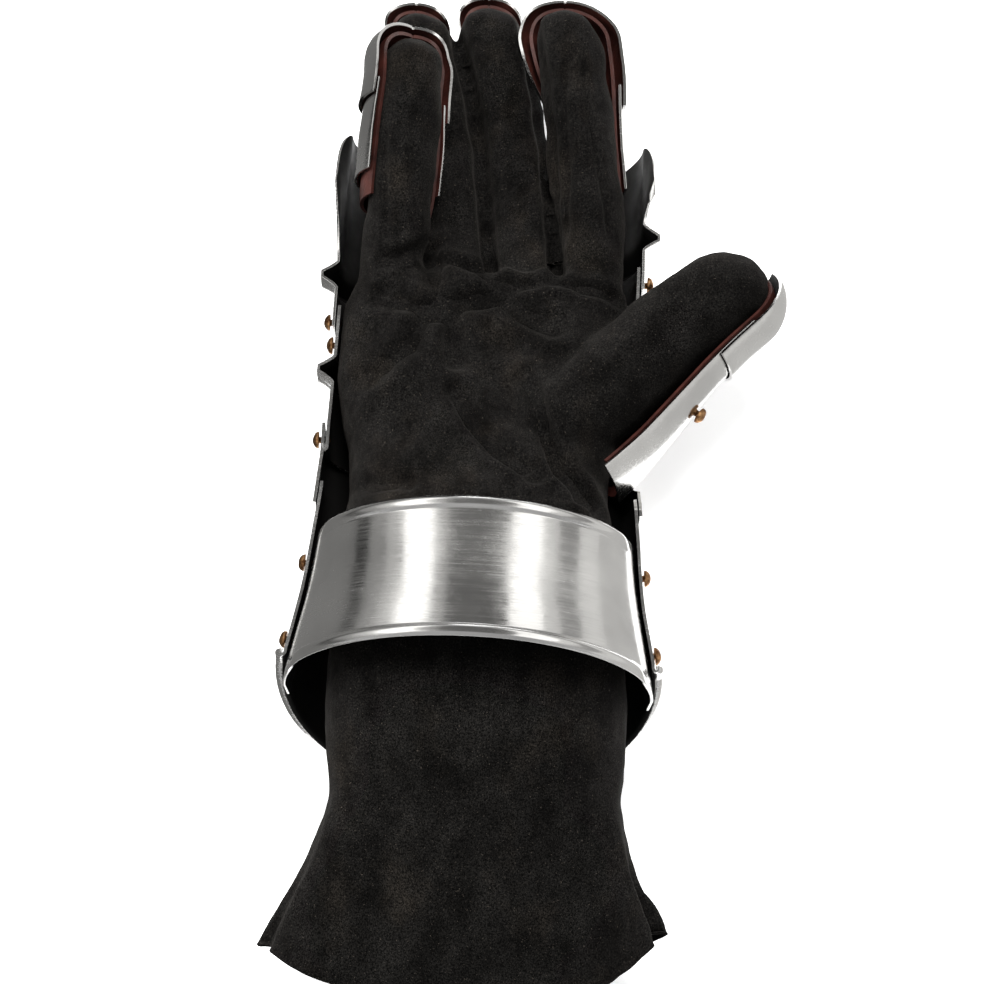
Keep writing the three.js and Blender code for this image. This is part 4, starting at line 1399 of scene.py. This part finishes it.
for number, row in enumerate(FINGERS):
    line = finger_line(row)
    wrap = finger_wrap(row)
    name = row["name"].capitalize()
    shares = rounded_shares(line, LEATHER_START, 1, SOFT_GAP, 44)
    grid = trough(line, shares, lambda share: SOFT_GAP, wrap, 31 + number)
    strip = thicken(sheet_object(name + "_strip", grid), LEATHER, 0.45, 1)
    finish_leather(strip, row["name"] + "_strip")
    for kind, start, end, layer in PLATE_SPANS:
        off = ON_LEATHER + layer * OVER_LAYER
        shares = rounded_shares(line, start, end, off, 26)
        seed = 41 + number + 7 * layer
        grid = trough(line, shares, lambda share, off=off: off, wrap, seed)
        plate = thicken(sheet_object(f"{name}_{kind}", grid), STEEL, 0.3, 1)
        finish_steel(plate, f"{row['name']}_{kind}", POLISHED, finger_heart(line), WAXED)

# %% [markdown]
# ## The thumb's plates
# The thumb works sideways, so its plates guard its outer side. They stand off it
# at the root and reach round its back further up, while the leather under them
# covers the back all the way. The same trough does it, with edges and a distance
# that change along the way.

# %% Strip and plates of the thumb
THUMB_STAND = 8.5
THUMB_EDGE = 130
TIP_BACK_EDGE = -8
PLATE_BACK_EDGE = 82
LEATHER_BACK_EDGE = 0
PLATE_EXTRA = LEATHER + 3 * GAP
THUMB_SPANS = (("plate", -0.02, 0.8, 0), ("tip_plate", 0.6, 1, 1))


def thumb_stand(share):
    return SOFT_GAP + THUMB_STAND * (1 - ease(share, 0, 0.75))


def thumb_wrap(share, root_edge=PLATE_BACK_EDGE):
    return mix(root_edge, TIP_BACK_EDGE, ease(share, 0, 0.7)), THUMB_EDGE


def thumb_strip_wrap(share):
    return thumb_wrap(share, LEATHER_BACK_EDGE)


shares = rounded_shares(THUMB, 0, 1, SOFT_GAP, 60)
grid = trough(THUMB, shares, thumb_stand, thumb_strip_wrap, 61, THUMB_FRAME)
thumb_strip = thicken(sheet_object("Thumb_strip", grid), LEATHER, 0.45, 1)
finish_leather(thumb_strip, "thumb_strip")
for kind, start, end, layer in THUMB_SPANS:
    extra = PLATE_EXTRA + layer * OVER_LAYER
    shares = rounded_shares(THUMB, start, end, SOFT_GAP + extra, 50)
    grid = trough(
        THUMB, shares, lambda share, extra=extra: thumb_stand(share) + extra,
        thumb_wrap, 71 + layer, THUMB_FRAME,
    )
    plate = thicken(sheet_object(f"Thumb_{kind}", grid), STEEL, 0.3, 1)
    finish_steel(plate, f"thumb_{kind}", POLISHED, finger_heart(THUMB, THUMB_FRAME))

# %% [markdown]
# ## Rivets
# The rivets are brass, set by hand, so no two heads are quite round or quite level.
# A head is a half ball turned from a short profile. Each one gets its own small
# dents from noise, and is put down where a matrix built from the shell's surface
# says that the solid rivet sits.

# %% Brass
BRASS_DARK, BRASS_BRIGHT = (0.12, 0.05, 0.022), (0.6, 0.34, 0.16)


def aged_brass():
    material, tree, shader = new_material("Aged brass", (0.42, 0.22, 0.1), 0.33, 1.0)
    clouds = stretched_noise(tree, (420, 420, 420), 4)
    tone = ramp(tree, clouds, ((0.35, BRASS_DARK), (0.66, BRASS_BRIGHT)))
    tree.links.new(tone, shader.inputs["Base Color"])
    tree.links.new(remap(tree, clouds, 0.35, 0.7, 0.5, 0.26), shader.inputs["Roughness"])
    raise_bump(tree, shader, clouds, 0.25, 0.5)
    return material


BRASS = aged_brass()
print("brass:", BRASS.name)

# %% A rivet's head and tail
HEAD = 3.3
DOME = 2.4
SHANK = 1.3
TAIL = 2.0
TAIL_THICK = 0.7
RIVET_SIDES = 36
HEAD_DENT, HEAD_DENT_SIZE = 0.09, 2.6


def facing(spot, first, second):
    """A frame on a surface whose own +Z points straight out of it."""
    small = 0.01
    along = spot(first + small, second) - spot(first - small, second)
    across = spot(first, second + small) - spot(first, second - small)
    out = along.cross(across).normalized()
    turned = out.to_track_quat("Z", "Y").to_matrix().to_4x4()
    return Matrix.Translation(spot(first, second)) @ turned


def rivet(name, frame, thick, seed):
    """A domed head with a small lip, a shank through the steel, and a flat tail."""
    under = -thick - 2 * GAP
    profile = [(HEAD * math.cos(math.radians(d)) + 0.01, GAP + DOME * math.sin(math.radians(d)))
               for d in steps(88, 0, 14)]
    profile += [(HEAD * 0.97, GAP - 0.12), (SHANK, GAP - 0.15), (SHANK, under)]
    profile += [(TAIL, under), (TAIL * 0.9, under - TAIL_THICK * 0.6)]
    profile += [(0.01, under - TAIL_THICK)]
    rings = []
    for radius, height in profile:
        ring = []
        for k in range(RIVET_SIDES):
            turn = k / RIVET_SIDES * 2 * math.pi
            point = Vector((radius * math.cos(turn), radius * math.sin(turn), height))
            if height > GAP - 0.2:
                dent = noise.noise(point / HEAD_DENT_SIZE + Vector((seed, 0, 0)))
                point *= 1 + HEAD_DENT * dent
            ring.append(frame @ point)
        rings.append(ring)
    points, faces = capped_tube(rings)
    obj = mesh_object(name.capitalize(), points, faces)
    obj.data.materials.append(BRASS)
    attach(obj, "root")
    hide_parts(name)


print("a rivet's head is", 2 * HEAD, "mm wide")

# %% Rivets down both sides and on the thumb
RIVET_PLACE = 2.15
RIVET_INSET = 0.25
# distance along, outer and inner face of what it holds, and whether only on the left
RIVETS = (
    (BAND_TOP_Y - 0.7 * BAND_LENGTH, STEEL, -BAND_GAP - STEEL, False),
    (BAND_TOP_Y - BAND_LENGTH / 6, STEEL, -BAND_GAP - STEEL, False),
    ((HAND_START + WRIST_END) / 2, OVER_LAYER + STEEL, 0, False),
    (KNUCKLE_START - 0.62 * LAME_OVERLAP, STEEL, 0, True),
    ((KNUCKLE_START + HAND_END) / 2, OVER_LAYER + STEEL, 0, False),
)
for number, (y, outer, inner, left_only) in enumerate(RIVETS, 1):
    for side_name, side in (("left", -1),) if left_only else (("left", -1), ("right", 1)):
        limit = abs(thumb_side(3, y)) - RIVET_INSET
        place = -RIVET_PLACE if side < 0 else min(RIVET_PLACE, limit)
        there = y + lean(place) if y > HAND_START + LAME_OVERLAP else y
        frame_here = facing(lambda a, b, out=outer: shell_point(a, b, out), there, place)
        rivet(f"rivet_{side_name}_{number}", frame_here, outer - inner, number * 3.7 + side)

thumb_outer = STEEL + PLATE_EXTRA


def thumb_spot(share, turn):
    section = finger_section(THUMB, share, thumb_stand(share) + thumb_outer)
    return Vector((
        section["x"] + section["half"] * math.sin(turn),
        section["y"],
        section["z"] - section["down"] * math.cos(turn),
    ))


rivet("thumb_rivet", THUMB_FRAME @ facing(thumb_spot, 0.4, math.radians(88)), thumb_outer, 50)
print("rivets:", sum(1 if row[3] else 2 for row in RIVETS) + 1)

# %% [markdown]
# ## Floor, light and camera
# The photograph is a shop picture: a white ground, very soft light from above, and
# the camera high over the wrist. Polished steel shows whatever is round it, so the
# studio matters as much as the metal. Three soft lights light the suede and are
# hidden from the steel. Long curved cards, bright and dark, are seen by the
# polished surfaces alone and give them their bands. One big light would be simpler,
# but it would mirror as a single white patch.

# %% The floor
FLOOR_HALF = 4
FLOOR_GLOW = 0.42


def pale_floor():
    mesh = bpy.data.meshes.new("Floor")
    corners = [(-1, -1), (1, -1), (1, 1), (-1, 1)]
    points = [(x * FLOOR_HALF, y * FLOOR_HALF, 0) for x, y in corners]
    mesh.from_pydata(points, [], [(0, 1, 2, 3)])
    floor = bpy.data.objects.new("Floor", mesh)
    bpy.context.collection.objects.link(floor)
    material, _tree, shader = new_material("White ground", (0.94, 0.94, 0.94), 0.9)
    shader.inputs["Specular IOR Level"].default_value = 0.1
    shader.inputs["Emission Color"].default_value = (1, 1, 1, 1)
    shader.inputs["Emission Strength"].default_value = FLOOR_GLOW
    mesh.materials.append(material)


pale_floor()
print("the floor is", 2 * FLOOR_HALF, "m wide")

# %% The lights
def soft_light(name, place, target, width, height, power):
    light = bpy.data.lights.new(name, "AREA")
    light.shape = "RECTANGLE"
    light.size = width
    light.size_y = height
    light.energy = power
    lamp = bpy.data.objects.new(name, light)
    lamp.location = place
    lamp.rotation_euler = (Vector(target) - Vector(place)).to_track_quat("-Z", "Y").to_euler()
    lamp.visible_glossy = False
    bpy.context.collection.objects.link(lamp)


ROOM_LIGHT = 0.45
middle = Vector((0, 0, 0.05))
# where it hangs, where it points, width and height in metres, and watts
soft_light("Top light", (0.1, 0.9, 1.9), middle, 0.8, 0.8, 68)
soft_light("Left light", (-1.6, 0.3, 0.9), middle, 0.6, 1.4, 52)
soft_light("Right light", (1.7, 0.3, 1.2), middle, 0.7, 1.4, 12)
world = bpy.data.worlds.new("Studio")
bpy.context.scene.world = world
world.use_nodes = True
background = world.node_tree.nodes["Background"]
background.inputs["Color"].default_value = (1, 1, 1, 1)
background.inputs["Strength"].default_value = ROOM_LIGHT
bpy.context.scene.view_settings.view_transform = "Standard"
print("three soft lights and a pale room")

# %% Cards that only the polished surfaces see
CARD_RADIUS = 1.6
CARD_NEAR, CARD_FAR = -1.6, 2.8
CARD_FACES = 6
JUST_OVER_FLOOR = 0.001
# start and end in degrees from straight up towards the thumb's side, and brightness
CARDS = (
    (-90, -84, 0.2), (-84, -72, 0.05), (-72, -58, 0.3), (-58, -46, 0.55), (-46, -26, 1.7),
    (-26, -17, 0.45), (-17, 12, 0.15), (12, 21, 0.22), (21, 42, 1.6), (42, 54, 0.75),
    (54, 70, 0.33), (70, 90, 0.8),
)


def reflector(start, end, bright):
    """One long curved card over the gauntlet."""
    points, faces = [], []
    for degrees in steps(start, end, CARD_FACES):
        turn = math.radians(degrees)
        across, high = CARD_RADIUS * math.sin(turn), CARD_RADIUS * math.cos(turn)
        points += [(across, CARD_NEAR, high), (across, CARD_FAR, high)]
    for k in range(CARD_FACES):
        faces.append((2 * k, 2 * k + 1, 2 * k + 3, 2 * k + 2))
    reflecting_card(points, faces, bright)


def reflecting_card(points, faces, bright):
    """A glowing card that only mirrored rays can meet."""
    mesh = bpy.data.meshes.new("Reflector")
    mesh.from_pydata(points, [], faces)
    card = bpy.data.objects.new("Reflector", mesh)
    material, _tree, shader = new_material("Reflector", (0, 0, 0), 1)
    shader.inputs["Specular IOR Level"].default_value = 0
    shader.inputs["Emission Color"].default_value = (1, 0.99, 0.97, 1)
    shader.inputs["Emission Strength"].default_value = bright
    mesh.materials.append(material)
    for sight in ("camera", "diffuse", "transmission", "volume_scatter", "shadow"):
        setattr(card, "visible_" + sight, False)
    bpy.context.collection.objects.link(card)


for start, end, bright in CARDS:
    reflector(start, end, bright)
# two more lie on the floor and dull the white that the sides would mirror
for near, far, bright in ((-0.1, -CARD_RADIUS, 0.2), (0.1, CARD_RADIUS, 0.62)):
    sides = ((near, CARD_NEAR), (far, CARD_NEAR), (far, CARD_FAR), (near, CARD_FAR))
    corners = [(x, y, JUST_OVER_FLOOR) for x, y in sides]
    reflecting_card(corners, [(0, 1, 2, 3)], bright)
print("cards overhead:", len(CARDS))

# %% The camera
AZIMUTH = math.radians(2.8)
ELEVATION = math.radians(70)
DISTANCE = 1.4
AIM = Vector((0, -0.0028, 0.055))
SHIFT_RIGHT, SHIFT_UP = 0.0173, 0.0123
LENS, SENSOR = 133, 36


def photograph_camera():
    back = Vector((
        math.sin(AZIMUTH) * math.cos(ELEVATION),
        -math.cos(AZIMUTH) * math.cos(ELEVATION),
        math.sin(ELEVATION),
    ))
    right = Vector((math.cos(AZIMUTH), math.sin(AZIMUTH), 0))
    up = back.cross(right)
    aim = AIM - right * SHIFT_RIGHT - up * SHIFT_UP
    camera = bpy.data.cameras.new("Camera")
    camera.lens = LENS
    camera.sensor_width = SENSOR
    camera.clip_start = 0.05
    obj = bpy.data.objects.new("Camera", camera)
    obj.location = aim + back * DISTANCE
    obj.rotation_euler = Matrix((right, up, back)).transposed().to_euler()
    bpy.context.collection.objects.link(obj)
    bpy.context.scene.camera = obj


photograph_camera()
print("camera at", round(math.degrees(ELEVATION)), "degrees above the floor")

# %% [markdown]


print("the scene is built")
